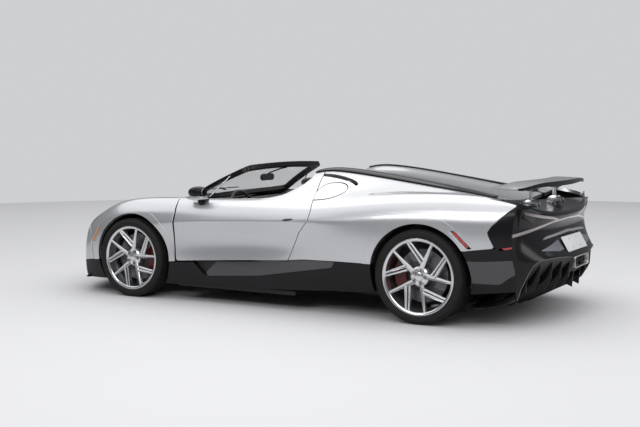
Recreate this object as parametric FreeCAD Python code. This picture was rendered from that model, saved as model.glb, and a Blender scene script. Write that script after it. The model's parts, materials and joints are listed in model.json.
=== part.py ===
import FreeCAD, Part
import math
import os

Vector = FreeCAD.Vector

# Driving dimensions, in millimetres.
wheelbase = 2711.0
front_overhang = 945.0
rear_overhang = 939.0
overall_width = 2038.0
body_height = 1158.0

front_tyre_radius = 339.5
front_tyre_width = 285.0
front_rim_radius = 262.0
rear_tyre_radius = 355.5
rear_tyre_width = 355.0
rear_rim_radius = 275.0
front_wheel_face = 1006.0
rear_wheel_face = 1012.0
front_arch_radius = 387.0
rear_arch_radius = 400.0
spoke_count = 5
spoke_depth = 34.0
fork_share = 0.47
branch_turn = 39.0
front_spoke_turn = 4.4
rear_spoke_turn = 66.0
hub_radius = 82.0
spindle_radius = 30.0
bearing_clearance = 0.05
disc_radius = 200.0
disc_thickness = 32.0
caliper_clearance = 6.0

roof_skin = 32.0
side_skin = 85.0
fascia_skin = 12.0
panel_line = 0.8
panel_gap = 6.0
lid_gap = 6.0
grille_depth = 26.0
grille_thickness = 10.0
lamp_gap = 0.4
seat_gap = 0.3
running_gap = 6.0
arch_drop = 6.0
well_inner_front = 545.0
well_inner_rear = 615.0

door_hinge_x = 470.0
door_hinge_skin = 968.0
pillar_foot_rear = 478.0
pillar_foot_side = 800.0
pillar_foot_floor = 775.0
door_hinge_inset = 24.0
door_sill_gap = 9.0
door_sill_end = 1580.0
hinge_relief = 38.0
hinge_pin_radius = 9.0
hinge_pin_depth = 36.0
bonnet_hinge_x = 152.0
bonnet_hinge_z = 843.0
bonnet_hinge_y = 620.0
bonnet_pin_radius = 4.0
bonnet_barrel_wall = 2.4
bonnet_rear_gap = 6.0
bonnet_front_drop = 233.0
kingpin_radius = 12.0
tower_thickness = 30.0
nose_tub_half_width = 500.0

wing_chord = 235.0
wing_sweep = 95.0
wing_half_span = 820.0
wing_thickness = 24.0
wing_travel = 90.0
wing_front_x = 3195.0
wing_height = 1046.0
wing_post_radius = 16.0
wing_post_y = 300.0
wing_post_length = 250.0
wing_sleeve_clearance = 0.08
wing_sleeve_wall = 8.0

column_radius = 18.0
column_clearance = 0.08
steering_wheel_radius = 178.0
steering_rim_radius = 15.0
steering_tilt = 22.0
driver_y = 370.0
windscreen_thickness = 6.0
frame_depth = 44.0
frame_width = 52.0

plate_hole_radius = 3.5
plate_hole_spacing_y = 178.0
plate_hole_spacing_z = 70.0
plate_thickness = 6.0
plate_hole_relief = 8.0
plate_relief_depth = 40.0
mirror_x = 668.0
mirror_y = 922.0
mirror_z = 892.0
mirror_length = 122.0
mirror_half_width = 60.0
mirror_half_height = 68.0
mirror_glass_share = 0.6
mirror_foot_y = 812.0
mirror_arm_line = [(622, 850), (622, 880), (690, 880), (700, 850)]

# The body lines below are drawn for these sizes, from the front axle, and stretch with the values above.
drawn_wheelbase = 2711.0
drawn_front = 945.0
drawn_rear = 939.0
drawn_half_width = 1019.0
drawn_height = 1158.0

half_length = (front_overhang + wheelbase + rear_overhang) / 2
front_axle_x = front_overhang - half_length
rear_axle_x = front_axle_x + wheelbase
half_width = overall_width / 2


def px(x):
    """Lengthways place of a drawn x."""
    if x < 0:
        return front_axle_x + x * front_overhang / drawn_front
    if x <= drawn_wheelbase:
        return front_axle_x + x * wheelbase / drawn_wheelbase
    return rear_axle_x + (x - drawn_wheelbase) * rear_overhang / drawn_rear


def py(y):
    return y * half_width / drawn_half_width


def pz(z):
    return z * body_height / drawn_height


def at(x, y, z):
    return Vector(px(x), py(y), pz(z))


def box(x0, x1, y0, y1, z0, z1):
    a = at(x0, y0, z0)
    b = at(x1, y1, z1)
    return Part.makeBox(b.x - a.x, b.y - a.y, b.z - a.z, a)


def raw_box(x0, x1, y0, y1, z0, z1):
    return Part.makeBox(x1 - x0, y1 - y0, z1 - z0, Vector(x0, y0, z0))


def rod_y(x, z, r, y0, y1):
    """A round bar across the car."""
    return Part.makeCylinder(r, y1 - y0, Vector(x, y0, z), Vector(0, 1, 0))


def outline(points, close=True):
    points = list(points)
    if close:
        points.append(points[0])
    return Part.Wire(Part.makePolygon(points))


def side_prism(points, y0, y1):
    """A side-view outline of drawn (x, z) pairs, pushed across the car."""
    wire = outline([at(x, y0, z) for x, z in points])
    return Part.Face(wire).extrude(Vector(0, py(y1) - py(y0), 0))


def plan_prism(points, z0, z1):
    """A plan outline of drawn (x, y) pairs, pushed upwards."""
    wire = outline([at(x, y, z0) for x, y in points])
    return Part.Face(wire).extrude(Vector(0, 0, pz(z1) - pz(z0)))


def both_sides(points):
    """A half outline of (x, y) pairs from front to back, closed by its mirror image."""
    left = [(x, -y) for x, y in points]
    return left + [(x, y) for x, y in reversed(points) if y > 0]


def mirrored(shape):
    return shape.mirror(Vector(0, 0, 0), Vector(0, 1, 0))


def pair(shape):
    return Part.makeCompound([shape, mirrored(shape)])


def clamped(count, degree=3):
    """Knots and multiplicities of a clamped spline."""
    spans = count - degree
    knots = list(range(spans + 1))
    counts = [degree + 1] + [1] * (spans - 1) + [degree + 1]
    return [float(k) for k in knots], counts


def spline_face(net):
    surface = Part.BSplineSurface()
    u_knots, u_counts = clamped(len(net))
    v_knots, v_counts = clamped(len(net[0]))
    surface.buildFromPolesMultsKnots(
        net, u_counts, v_counts, u_knots, v_knots, False, False, 3, 3
    )
    return surface


def net_normals(net):
    """Directions square to a net of poles, worked out at each pole."""
    rows = len(net)
    columns = len(net[0])
    normals = []
    for i in range(rows):
        line = []
        for j in range(columns):
            along = net[min(i + 1, rows - 1)][j] - net[max(i - 1, 0)][j]
            across = net[i][min(j + 1, columns - 1)] - net[i][max(j - 1, 0)]
            normal = along.cross(across)
            line.append(normal.normalize())
        normals.append(line)
    return normals


def thick_patch(net, thickness):
    """A solid skin below a net: thickness is one number, or a number for each column."""
    normals = net_normals(net)
    inner_net = []
    for i, line in enumerate(net):
        inner_line = []
        for j, pole in enumerate(line):
            depth = thickness[j] if isinstance(thickness, list) else thickness
            inner_line.append(pole - normals[i][j] * depth)
        inner_net.append(inner_line)
    outer = spline_face(net)
    inner = spline_face(inner_net)
    u_end = float(len(net) - 3)
    v_end = float(len(net[0]) - 3)
    faces = [outer.toShape(), inner.toShape()]
    for outer_edge, inner_edge in (
        (outer.uIso(0.0), inner.uIso(0.0)),
        (outer.uIso(u_end), inner.uIso(u_end)),
        (outer.vIso(0.0), inner.vIso(0.0)),
        (outer.vIso(v_end), inner.vIso(v_end)),
    ):
        faces.append(Part.makeRuledSurface(outer_edge.toShape(), inner_edge.toShape()))
    shell = Part.makeShell(faces)
    shell.sewShape()
    solid = Part.makeSolid(Part.makeShell(shell.Faces))
    if solid.Volume < 0:
        solid.reverse()
    return solid


# Half sections of the body from its top centre to its sill, as (y, z) pairs.
# Each has the x of its side and how far its centre bows forwards (or back, if negative).
sections = [
    (-560, 300, [(0, 600), (230, 602), (430, 606), (530, 610), (680, 612), (790, 600), (860, 556),
                 (900, 490), (915, 400), (915, 320), (912, 250), (905, 190), (890, 130)]),
    (-430, 250, [(0, 664), (230, 666), (430, 670), (530, 676), (680, 690), (800, 700), (890, 668),
                 (945, 600), (975, 510), (978, 420), (970, 330), (955, 240), (930, 132)]),
    (-230, 140, [(0, 736), (230, 738), (430, 744), (530, 754), (680, 784), (805, 816), (895, 792),
                 (955, 722), (990, 630), (992, 520), (987, 400), (972, 270), (940, 135)]),
    (-20, 50, [(0, 792), (230, 793), (430, 798), (530, 806), (680, 832), (805, 854), (900, 828),
               (965, 755), (1002, 655), (1004, 540), (997, 410), (980, 275), (945, 135)]),
    (200, 0, [(0, 826), (230, 826), (430, 829), (530, 834), (680, 850), (805, 862), (900, 834),
              (965, 754), (997, 650), (992, 535), (985, 410), (972, 275), (945, 135)]),
    (420, 0, [(0, 850), (230, 849), (430, 850), (530, 853), (680, 858), (805, 866), (890, 836),
              (950, 762), (982, 668), (966, 555), (958, 430), (968, 300), (945, 138)]),
    (750, 0, [(0, 868), (230, 868), (430, 868), (530, 868), (680, 868), (810, 868), (882, 838),
              (937, 768), (974, 688), (944, 575), (932, 450), (962, 330), (945, 145)]),
    (1150, 0, [(0, 905), (230, 905), (430, 905), (530, 905), (690, 895), (812, 875), (886, 846),
               (942, 780), (978, 702), (940, 590), (926, 470), (962, 352), (945, 155)]),
    (1450, 0, [(0, 985), (230, 1000), (430, 1070), (540, 1040), (675, 975), (792, 900), (885, 862),
               (948, 798), (988, 714), (952, 604), (938, 488), (962, 378), (945, 165)]),
    (1600, 0, [(0, 1030), (230, 1045), (430, 1125), (540, 1095), (665, 1035), (780, 938), (880, 874),
               (954, 808), (996, 722), (968, 612), (952, 500), (962, 392), (945, 172)]),
    (1760, 0, [(0, 1055), (230, 1068), (430, 1142), (540, 1108), (660, 1048), (770, 952), (872, 888),
               (956, 820), (1002, 730), (985, 622), (972, 512), (966, 405), (945, 180)]),
    (2050, 0, [(0, 1055), (230, 1064), (430, 1112), (540, 1078), (665, 1008), (785, 938), (884, 912),
               (962, 842), (1008, 742), (1010, 632), (1002, 520), (990, 420), (945, 200)]),
    (2400, 0, [(0, 1015), (230, 1022), (430, 1058), (540, 1030), (670, 972), (785, 952), (884, 956),
               (968, 880), (1013, 775), (1021, 652), (1020, 540), (1006, 430), (950, 215)]),
    (2700, 0, [(0, 970), (230, 976), (430, 1008), (540, 988), (670, 950), (785, 960), (882, 976),
               (972, 895), (1015, 788), (1021, 660), (1020, 540), (1006, 420), (950, 230)]),
    (3000, 0, [(0, 922), (230, 926), (430, 955), (540, 948), (670, 940), (785, 960), (878, 976),
               (962, 890), (1002, 780), (1006, 660), (1000, 540), (985, 430), (940, 240)]),
    (3230, -40, [(0, 872), (230, 876), (430, 892), (540, 902), (670, 922), (785, 946), (872, 960),
                 (948, 880), (980, 775), (980, 660), (970, 550), (952, 440), (912, 258)]),
    (3440, -100, [(0, 815), (230, 819), (430, 832), (540, 845), (670, 872), (780, 912), (864, 926),
                  (928, 856), (950, 760), (950, 660), (940, 560), (922, 450), (890, 280)]),
]
bow_half_width = 950.0
nose_rows = [
    [(-925, 0, 130), (-920, 160, 130), (-900, 320, 130), (-872, 430, 130), (-835, 530, 130),
     (-790, 620, 130), (-740, 700, 130), (-690, 765, 130), (-650, 810, 130), (-622, 842, 130),
     (-603, 864, 130), (-592, 878, 130), (-584, 888, 130)],
    [(-953, 0, 300), (-946, 180, 300), (-920, 350, 300), (-880, 470, 298), (-835, 580, 292),
     (-778, 680, 282), (-722, 760, 262), (-672, 820, 238), (-638, 858, 212), (-614, 880, 188),
     (-600, 892, 168), (-590, 896, 150), (-582, 892, 131)],
    [(-915, 0, 480), (-906, 210, 482), (-872, 400, 482), (-836, 510, 480), (-780, 650, 472),
     (-716, 755, 450), (-662, 830, 408), (-626, 876, 355), (-606, 898, 300), (-596, 906, 254),
     (-588, 906, 214), (-582, 902, 170), (-578, 892, 131)],
]


def body_half():
    """The body's poles, row by row from the nose to the tail, with y from 0 to the sill."""
    rows = [list(row) for row in nose_rows]
    for x, bow, poles in sections:
        row = []
        for y, z in poles:
            share = 1 - min(1.0, (y / bow_half_width) ** 2)
            row.append((x - bow * share, y, z))
        rows.append(row)
    return rows


def body_net():
    net = []
    for row in body_half():
        left = [at(x, -y, z) for x, y, z in reversed(row)]
        right = [at(x, y, z) for x, y, z in row[1:]]
        net.append(left + right)
    return net


def skin_depths():
    """The wall's thickness at each line: thin over the top, a whole door deep at the side."""
    half = [roof_skin] * 5 + [roof_skin + 8, roof_skin + 25] + [side_skin] * 6
    return list(reversed(half)) + half[1:]


def wide_prism(points):
    """A side-view outline pushed right across the car."""
    return side_prism(points, -1300, 1300)


def rod_x(x0, x1, y, z, r):
    start = at(x0, y, z)
    return Part.makeCylinder(r, px(x1) - px(x0), start, Vector(1, 0, 0))


# Panel lines, as drawn (x, z) pairs from the side or (x, y) pairs from above, front to back.
door_front_line = [(395, 1000), (407, 862), (439, 812), (455, 749), (459, 628), (450, 519), (455, 412), (462, 334)]
door_bottom_line = [(462, 334), (636, 346), (1100, 376), (1562, 404)]
door_rear_radii = [(1067, 1268), (1024, 1262), (960, 1266), (897, 1276), (804, 1305), (730, 1298), (634, 1212),
                   (503, 1142), (404, 1094), (330, 1060)]
silver_bottom_line = [(-700, 268), (-383, 300), (392, 326), (636, 346), (1100, 376), (1562, 404), (1704, 418),
                      (2000, 424), (2320, 424), (2500, 424), (3000, 560), (3097, 566), (3290, 590)]
fascia_line = [(3290, 590), (3275, 619), (3248, 676), (3238, 707), (3262, 747), (3315, 801), (3370, 853),
               (3430, 905), (3460, 935)]
nose_line = [(-470, 200), (-470, 420), (-520, 540), (-600, 585), (-760, 640), (-1000, 660)]
opening_plan = [(170, 0), (235, 400), (300, 560), (400, 700), (470, 775), (560, 792), (900, 800), (1290, 800),
                (1405, 772), (1480, 725), (1556, 675), (1589, 615), (1572, 540), (1572, 0)]
bonnet_plan = [(-820, 0), (-802, 330), (-745, 520), (-630, 600), (-320, 650), (158, 650), (158, 0)]
splitter_plan = [(-940, 0), (-930, 200), (-895, 400), (-820, 590), (-720, 745), (-640, 840), (-560, 905), (-420, 905),
                 (-420, 0)]
headlamp_plan = [(-330, -790), (-420, -850), (-560, -862), (-690, -780), (-752, -660), (-700, -640), (-560, -730),
                 (-430, -775)]
front_marker_line = [(-392, 600), (-374, 600), (-440, 462), (-462, 462)]
rear_marker_line = [(2972, 706), (2996, 706), (3120, 586), (3098, 582)]
upper_bar_line = [(830, 862), (560, 812), (355, 786), (262, 770), (262, 750), (355, 764), (560, 788), (800, 830)]
lower_bar_top = [(930, 690), (640, 722), (320, 760), (0, 768)]
lower_bar_bottom = [(0, 748), (320, 738), (640, 700), (930, 666)]
centre_intake = (-1000, -840, 400, 178, 330)
side_intake = (500, 760, 200, 330)
sill_front_x = 330.0
sill_rear_x = 2400.0
band_inner = 452.0
band_outer = 530.0
recess_front_x = 3182.0
recess_floor_z = 868.0
recess_depth = 22.0
tray_thickness = 90.0
recess_half_width = 838.0
fascia_profile = [(3540, 816), (3568, 788), (3534, 745), (3514, 700), (3530, 640), (3565, 585), (3606, 530),
                  (3652, 485), (3656, 435), (3640, 380), (3590, 325)]
fascia_columns = [-925, -860, -700, -480, -240, 0, 240, 480, 700, 860, 925]
fascia_bow = 200.0
fascia_side_rise = 95.0
plate_line = [(3500, 628), (3555, 628), (3618, 516), (3560, 516)]
plate_half_width = 255.0
exhaust_box = (3440, 3650, 185, 384, 478)
pipe_radius = 34.0
pipe_y = 92.0


def wells():
    """The four wheel wells, as tools."""
    tools = []
    for axle_x, tyre_radius, radius, inner in (
        (front_axle_x, front_tyre_radius, front_arch_radius, well_inner_front),
        (rear_axle_x, rear_tyre_radius, rear_arch_radius, well_inner_rear),
    ):
        well = rod_y(axle_x, tyre_radius - arch_drop, radius, inner, half_width + 200)
        tools += [well, mirrored(well)]
    return tools


def hinge_y():
    return py(door_hinge_skin) - door_hinge_inset


def door_sweep(extra):
    """The solid that the left door's rear edge turns in, about its hinge, grown by a gap."""
    x = px(door_hinge_x)
    y = -hinge_y()
    stretch = wheelbase / drawn_wheelbase
    top = pz(1500)
    bottom = pz(20)
    points = [Vector(x, y, top), Vector(x + door_rear_radii[0][1] * stretch + extra, y, top)]
    points += [Vector(x + r * stretch + extra, y, pz(z)) for z, r in door_rear_radii]
    points += [Vector(x + door_rear_radii[-1][1] * stretch + extra, y, bottom), Vector(x, y, bottom)]
    return Part.Face(outline(points)).revolve(Vector(x, y, 0), Vector(0, 0, 1), 360)


def save(node, shape):
    solids = shape.Solids
    if len(solids) == 1:
        shape = solids[0]
    else:
        shape = Part.makeCompound(solids)
    if not shape.isValid():
        print("not valid:", node)
    shape.exportStep("parts/" + node + ".step")
    print(node, len(solids), round(shape.Volume / 1e6, 1))
    return shape


def both(tool):
    return [tool, mirrored(tool)]


def grown(x0, x1, y0, y1, z0, z1, gap):
    """A drawn box made larger by a gap all round."""
    a = at(x0, y0, z0)
    b = at(x1, y1, z1)
    return raw_box(a.x - gap, b.x + gap, a.y - gap, b.y + gap, a.z - gap, b.z + gap)


def tail_area(outline_points, gap):
    """A tail lamp's outline in (y, z), pushed through the tail panel, grown by a gap."""
    wire = outline([Vector(px(3150), py(y), pz(z)) for y, z in outline_points])
    face = Part.Face(wire)
    if gap:
        face = face.makeOffset2D(gap)
    return face.extrude(Vector(px(3700) - px(3150), 0, 0))


def lid_area(shrink):
    """The bonnet's outline, pushed up square to the way its front edge starts to move."""
    front_reach = bonnet_hinge_x - bonnet_plan[0][0]
    lean = -bonnet_front_drop / front_reach
    low = 500
    high = 1000
    rear = shrink + bonnet_rear_gap if shrink else 0
    points = [(x + (shrink if x < 0 else -rear), max(0, y - shrink)) for x, y in bonnet_plan]
    wire = outline([at(x + lean * (low - bonnet_hinge_z), y, low) for x, y in both_sides(points)])
    return Part.Face(wire).extrude(Vector(lean * (high - low), 0, pz(high) - pz(low)))


def body_panels():
    net = body_net()
    skin = thick_patch(net, skin_depths())
    grille = thick_patch(moved_in(net, grille_depth), grille_thickness)
    skin = skin.cut(plan_prism(both_sides(opening_plan), 500, 1500))
    skin = skin.cut(wells())
    tray = thick_patch(moved_in(net, recess_depth), tray_thickness)
    skin = skin.cut(box(recess_front_x, 3700, -recess_half_width, recess_half_width, 600, 1300))

    # Lamps and air intakes are cut out of the skin before it is split into panels.
    lamp_area = plan_prism(headlamp_plan, 400, 1200)
    marker = side_prism(front_marker_line, -1300, -905)
    lamps = skin.common(both(lamp_area) + both(marker))
    rear_marker = side_prism(rear_marker_line, -1300, -962)
    rear_markers = skin.common(both(rear_marker))
    x0, x1, y, z0, z1 = centre_intake
    intakes = [box(x0, x1, -y, y, z0, z1)]
    y0, y1, z0, z1 = side_intake
    intakes += both(box(-1000, -600, y0, y1, z0, z1))
    save("headlamps", lamps)
    skin = skin.cut(both(lamp_area) + both(marker) + both(rear_marker) + intakes)
    save("front_grille", grille.common(intakes))

    # The painted panels, and the black lower body and tail corners below and behind them.
    painted_area = wide_prism([(-1200, 1600), (-1200, 268)] + silver_bottom_line + fascia_line[1:]
                              + [(3475, 1000), (3475, 1600)])
    painted = skin.common(painted_area)
    lower = skin.cut(painted_area)
    pin_x = px(door_hinge_x)
    pin_z = pz(door_bottom_line[0][1])
    pin = Part.makeCylinder(hinge_pin_radius, hinge_pin_depth + 10, Vector(pin_x, -hinge_y(), pin_z - hinge_pin_depth),
                            Vector(0, 0, 1))
    bore = Part.makeCylinder(hinge_pin_radius + bearing_clearance, 400, Vector(pin_x, -hinge_y(), pin_z - 200),
                             Vector(0, 0, 1))
    under_door = [(x, z - door_sill_gap) for x, z in door_bottom_line]
    under_door[0] = (under_door[0][0] - panel_gap, under_door[0][1])
    under_door.append((door_sill_end, door_bottom_line[-1][1] - door_sill_gap))
    door_room = side_prism(under_door + [(door_sill_end, 500), (under_door[0][0], 500)], -1300, -500)
    sills = lower.common(box(sill_front_x, sill_rear_x, -1300, 1300, -100, 900)).cut(both(bore) + both(door_room))
    sills = save("sills", sills)
    valance = lower.common(box(-1300, sill_front_x, -1300, 1300, -100, 900))
    save("splitter", valance.fuse(plan_prism(both_sides(splitter_plan), 104, 136)))
    rear_corners = lower.common(box(2750, 3800, -1300, 1300, -100, 1300))

    bonnet = painted.common(lid_area(lid_gap))
    shell = painted.cut(lid_area(0))
    save("bonnet", bonnet.fuse(both(bonnet_barrel())))

    nose_area = wide_prism([(-1200, 200)] + nose_line + [(-1200, 660)])
    nose_shifted = nose_area.copy()
    nose_shifted.translate(Vector(panel_line, 0, panel_line))
    save("front_bumper", shell.common(nose_area))
    shell = shell.cut([nose_area, nose_shifted])

    # The doors, each turned out of the shell about its own hinge.
    beyond = [(2000, 430), (2000, 1400), (395, 1400)]
    door_area = side_prism(door_front_line + door_bottom_line[1:] + beyond, -1300, -500)
    foot_top = pz(1300)
    foot_floor = pz(pillar_foot_floor)
    foot_side = -py(pillar_foot_side)
    foot = raw_box(px(380), px(pillar_foot_rear), foot_side, 0, foot_floor, foot_top)
    door = shell.common(door_area.common(door_sweep(0)).cut(foot)).fuse(pin)
    cut_outline = [(x - panel_gap, z) for x, z in door_front_line]
    cut_outline += [(door_bottom_line[0][0] - panel_gap, door_bottom_line[0][1] - panel_gap)]
    cut_outline += [(x, z - panel_gap) for x, z in door_bottom_line[1:] + beyond[:1]]
    cut_outline += [(2000, 1400), (395 - panel_gap, 1400)]
    door_cut = side_prism(cut_outline, -1300, -500).common(door_sweep(panel_gap))
    corner_x = pin_x - px(401)
    corner_y = hinge_y() + foot_side
    reach = math.hypot(corner_x, corner_y) + panel_gap
    turning = Part.makeCylinder(reach, foot_top - foot_floor, Vector(pin_x, -hinge_y(), foot_floor), Vector(0, 0, 1))
    kept = raw_box(px(380), px(pillar_foot_rear) - panel_gap, foot_side, 0, foot_floor, foot_top).cut(turning)
    door_cut = door_cut.cut(kept)
    relief = Part.makeCylinder(hinge_relief, pz(1200), Vector(pin_x, -hinge_y(), pin_z - panel_gap), Vector(0, 0, 1))
    shell = shell.cut(both(door_cut) + both(relief))
    save("door_left", door)
    save("door_right", mirrored(door))

    wings = shell.common(box(-1200, 1000, -1300, 1300, -100, 1300))
    wings = save("front_wings", wings.fuse(both(bonnet_pin())))
    tail = shell.common(box(1000, 3700, -1300, 1300, -100, 1300))
    line = panel_line / 2
    inner = py(band_inner)
    outer = py(band_outer)
    x0 = px(1000)
    x1 = px(3700)
    save("engine_cover", tail.common(raw_box(x0, x1, -inner + line, inner - line, 0, 1300)))
    save("buttress_bands", tail.common([raw_box(x0, x1, inner + line, outer - line, 0, 1300),
                                        raw_box(x0, x1, line - outer, -inner - line, 0, 1300)]))
    quarters = save("rear_quarters", tail.common([raw_box(x0, x1, outer + line, 1300, -100, 1300),
                                                  raw_box(x0, x1, -1300, -outer - line, -100, 1300)]))
    return rear_corners, rear_markers, quarters, sills, wings, door, tray


def bonnet_barrel():
    """The bonnet's half of its left hinge: a barrel on its rear edge."""
    r = bonnet_pin_radius + bearing_clearance
    x = px(bonnet_hinge_x)
    z = pz(bonnet_hinge_z)
    y = -py(bonnet_hinge_y)
    barrel = rod_y(x, z, r + bonnet_barrel_wall, y - 15, y + 15)
    leaf = raw_box(x - lid_gap - 4, x - r, y - 15, y + 15, z - 16, z)
    return barrel.fuse(leaf).cut(rod_y(x, z, r, y - 16, y + 16))


def bonnet_pin():
    """The pin of the left hinge, held by two lugs on the panel behind the bonnet."""
    x = px(bonnet_hinge_x)
    z = pz(bonnet_hinge_z)
    y = -py(bonnet_hinge_y)
    pin = rod_y(x, z, bonnet_pin_radius, y - 24, y + 24)
    lugs = [raw_box(x - 2, x + 14, start, start + 7, z - 16, z) for start in (y - 24, y + 17)]
    return pin.fuse(lugs)


def moved_in(net, depth):
    normals = net_normals(net)
    return [[pole - normal * depth for pole, normal in zip(line, normal_line)]
            for line, normal_line in zip(net, normals)]


def fascia_net():
    """The tail's dark panel, from the deck's edge down to the bumper's lower edge."""
    net = []
    for x, z in fascia_profile:
        row = []
        for y in fascia_columns:
            side = abs(y) / drawn_half_width
            rise = fascia_side_rise * side ** 2 * max(0.0, (z - 560) / 270)
            row.append(at(x - fascia_bow * side ** 2, y, z + rise))
        net.append(row)
    return net


def tail_pieces(rear_corners, rear_markers, quarters):
    panel = thick_patch(fascia_net(), fascia_skin)
    lower_bar_line = (lower_bar_top + [(-y, z) for y, z in reversed(lower_bar_top[:-1])]
                      + [(-y, z) for y, z in reversed(lower_bar_bottom[1:])] + lower_bar_bottom)
    bar_lines = [upper_bar_line, [(-y, z) for y, z in upper_bar_line], lower_bar_line]
    lamp_areas = [tail_area(points, lamp_gap) for points in bar_lines]
    bars = panel.common([tail_area(points, 0) for points in bar_lines])
    save("tail_lamps", Part.makeCompound(bars.Solids + rear_markers.Solids))
    x0, x1, y, z0, z1 = exhaust_box
    slope = Vector(px(plate_line[2][0]) - px(plate_line[1][0]), 0, pz(plate_line[2][1]) - pz(plate_line[1][1]))
    slope.normalize()
    outward = Vector(-slope.z, 0, slope.x)
    middle = (at(plate_line[1][0], 0, plate_line[1][1]) + at(plate_line[2][0], 0, plate_line[2][1])) * 0.5
    holes = []
    reliefs = []
    for side in (-1, 1):
        for end in (-1, 1):
            centre = middle + slope * (end * plate_hole_spacing_z / 2) + Vector(0, side * plate_hole_spacing_y / 2, 0)
            holes.append(Part.makeCylinder(plate_hole_radius, 2 * plate_thickness, centre - outward * plate_thickness,
                                           outward))
            reliefs.append(Part.makeCylinder(plate_hole_relief, plate_relief_depth, centre - outward * plate_relief_depth,
                                             outward))
    bumper = panel.fuse(rear_corners).cut(lamp_areas + reliefs + [grown(x0, x1, -y, y, z0, z1, seat_gap)])
    bumper = bumper.cut(quarters)
    bumper = save("rear_bumper", max(bumper.Solids, key=lambda solid: solid.Volume))
    block = side_prism(plate_line, -plate_half_width, plate_half_width)
    inside = block.copy()
    inside.translate(-outward * plate_thickness)
    block = block.cut([inside, bumper])
    block = max(block.Solids, key=lambda solid: solid.Volume)
    save("plate_panel", block.cut(holes))
    print("plate centre", middle, "axis", outward)
    diffuser = side_prism([(3000, 112), (3420, 150), (3600, 262), (3606, 345), (3560, 345), (3400, 190), (3000, 140)],
                          -640, 640)
    fins = []
    for fin_y in (-560, -330, -110, 110, 330, 560):
        fins.append(side_prism([(3150, 112), (3420, 122), (3560, 180), (3570, 262), (3400, 150)],
                               fin_y - 6, fin_y + 6))
    save("diffuser", diffuser.fuse(fins).cut(bumper))
    pipe = box(x0, x1, -y, y, z0, z1)
    save("exhaust", pipe.cut([rod_x(x0 + 40, x1 + 20, side * pipe_y, (z0 + z1) / 2, pipe_radius)
                              for side in (-1, 1)]))
    return [bumper] + lamp_areas


windscreen_rows = 5
windscreen_base_x = 163.0
windscreen_base_z = 838.0
windscreen_crown = 16.0
pillar_base = (455.0, 772.0, 862.0)
pillar_head = (965.0, 600.0, 1140.0)
header_x = 980.0
header_z = 1157.0
glass_edge = 0.93
quarter_corners = [(476, -752, 874), (668, -756, 874), (812, -652, 1050)]
quarter_thickness = 6.0


def windscreen_net():
    """The windscreen's surface: rows from its base to its header."""
    rows = []
    for j in range(windscreen_rows):
        t = j / (windscreen_rows - 1)
        row = []
        for share in (-1.0, -0.85, -0.5, 0.0, 0.5, 0.85, 1.0):
            side = abs(share)
            base = (windscreen_base_x + (pillar_base[0] - windscreen_base_x) * side ** 2.2,
                    pillar_base[1] * share, windscreen_base_z + (pillar_base[2] - windscreen_base_z) * side)
            head = (header_x + (pillar_head[0] - header_x) * side ** 2, pillar_head[1] * share,
                    header_z + (pillar_head[2] - header_z) * side ** 2)
            x, y, z = [a + (b - a) * t for a, b in zip(base, head)]
            row.append(at(x, y, z + windscreen_crown * math.sin(math.pi * t)))
        rows.append(row)
    return rows


def quarter_pane():
    """The left fixed side pane between the pillar and the door's glass."""
    wire = outline([at(x, y, z) for x, y, z in quarter_corners])
    return Part.Face(wire).extrude(Vector(0, quarter_thickness, 0))


def glazing(wings):
    net = windscreen_net()
    plan = [Vector(point.x + frame_width * 0.9, point.y * glass_edge, 0) for point in net[0]]
    plan += [Vector(point.x - frame_width, point.y * glass_edge, 0) for point in reversed(net[-1])]
    window = Part.Face(outline(plan))
    mirror = box(745, 775, -105, 105, 982, 1044)
    arm = side_prism([(757, 1026), (757, 1044), (980, 1124), (980, 1100)], -8, 8)
    frame = thick_patch(net, frame_depth).cut(window.extrude(Vector(0, 0, 1500)))
    quarters = both(quarter_pane())
    frame = frame.fuse(quarters).cut(wings)
    frame = max(frame.Solids, key=lambda solid: solid.Volume)
    save("windscreen_frame", frame.fuse([mirror, arm]))
    lowered = [[pole - Vector(0, 0, frame_depth * 0.35) for pole in row] for row in net]
    pane = thick_patch(lowered, windscreen_thickness)
    inner = window.makeOffset2D(-seat_gap).extrude(Vector(0, 0, 1500))
    save("windscreen", pane.common(inner))


def cabin(sills):
    floor = box(440, 1600, -900, 900, 118, 150)
    firewall = box(440, 470, -700, 700, 118, 790)
    bulkhead = box(1575, 1600, -600, 600, 118, 985)
    inner_sills = both(box(470, 1570, -795, -760, 150, 300))
    nose_tub = box(-560, 440, -nose_tub_half_width, nose_tub_half_width, 118, 150)
    rear_tub = box(1600, 3000, -520, 520, 118, 150)
    tunnel = side_prism([(640, 140), (640, 660), (720, 640), (860, 540), (1100, 470), (1530, 480), (1575, 140)],
                        -110, 110)
    tub = floor.fuse([firewall, bulkhead, nose_tub, rear_tub, tunnel] + inner_sills)
    tub = save("tub", tub.cut(sills))
    centre, axis = steering_place()
    reach = Part.makeCylinder(column_radius + column_clearance, 500, centre - axis * 500, axis)
    dash = side_prism([(470, 620), (470, 800), (540, 838), (630, 846), (668, 830), (684, 780), (692, 700), (676, 640),
                       (600, 604)], -745, 745)
    save("dashboard", dash.cut([reach, tub]))
    cushions = []
    backs = []
    floor_top = 150 + seat_gap
    for side in (-1, 1):
        y0 = side * driver_y - 235
        y1 = side * driver_y + 235
        cushions.append(side_prism([(930, floor_top), (930, 330), (1000, 352), (1330, 300), (1345, floor_top)], y0, y1))
        backs.append(side_prism([(1350, floor_top), (1345, 330), (1440, 830), (1470, 960), (1520, 960), (1540, 820),
                                 (1470, floor_top)], y0 + 5, y1 - 5))
    save("seat_cushions", Part.makeCompound(cushions))
    save("seat_backs", Part.makeCompound(backs))
    save("engine", box(1700, 2800, -310, 310, 150, 790))


steering_centre_x = 765.0
steering_centre_z = 735.0
steering_column_length = 150.0


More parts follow.
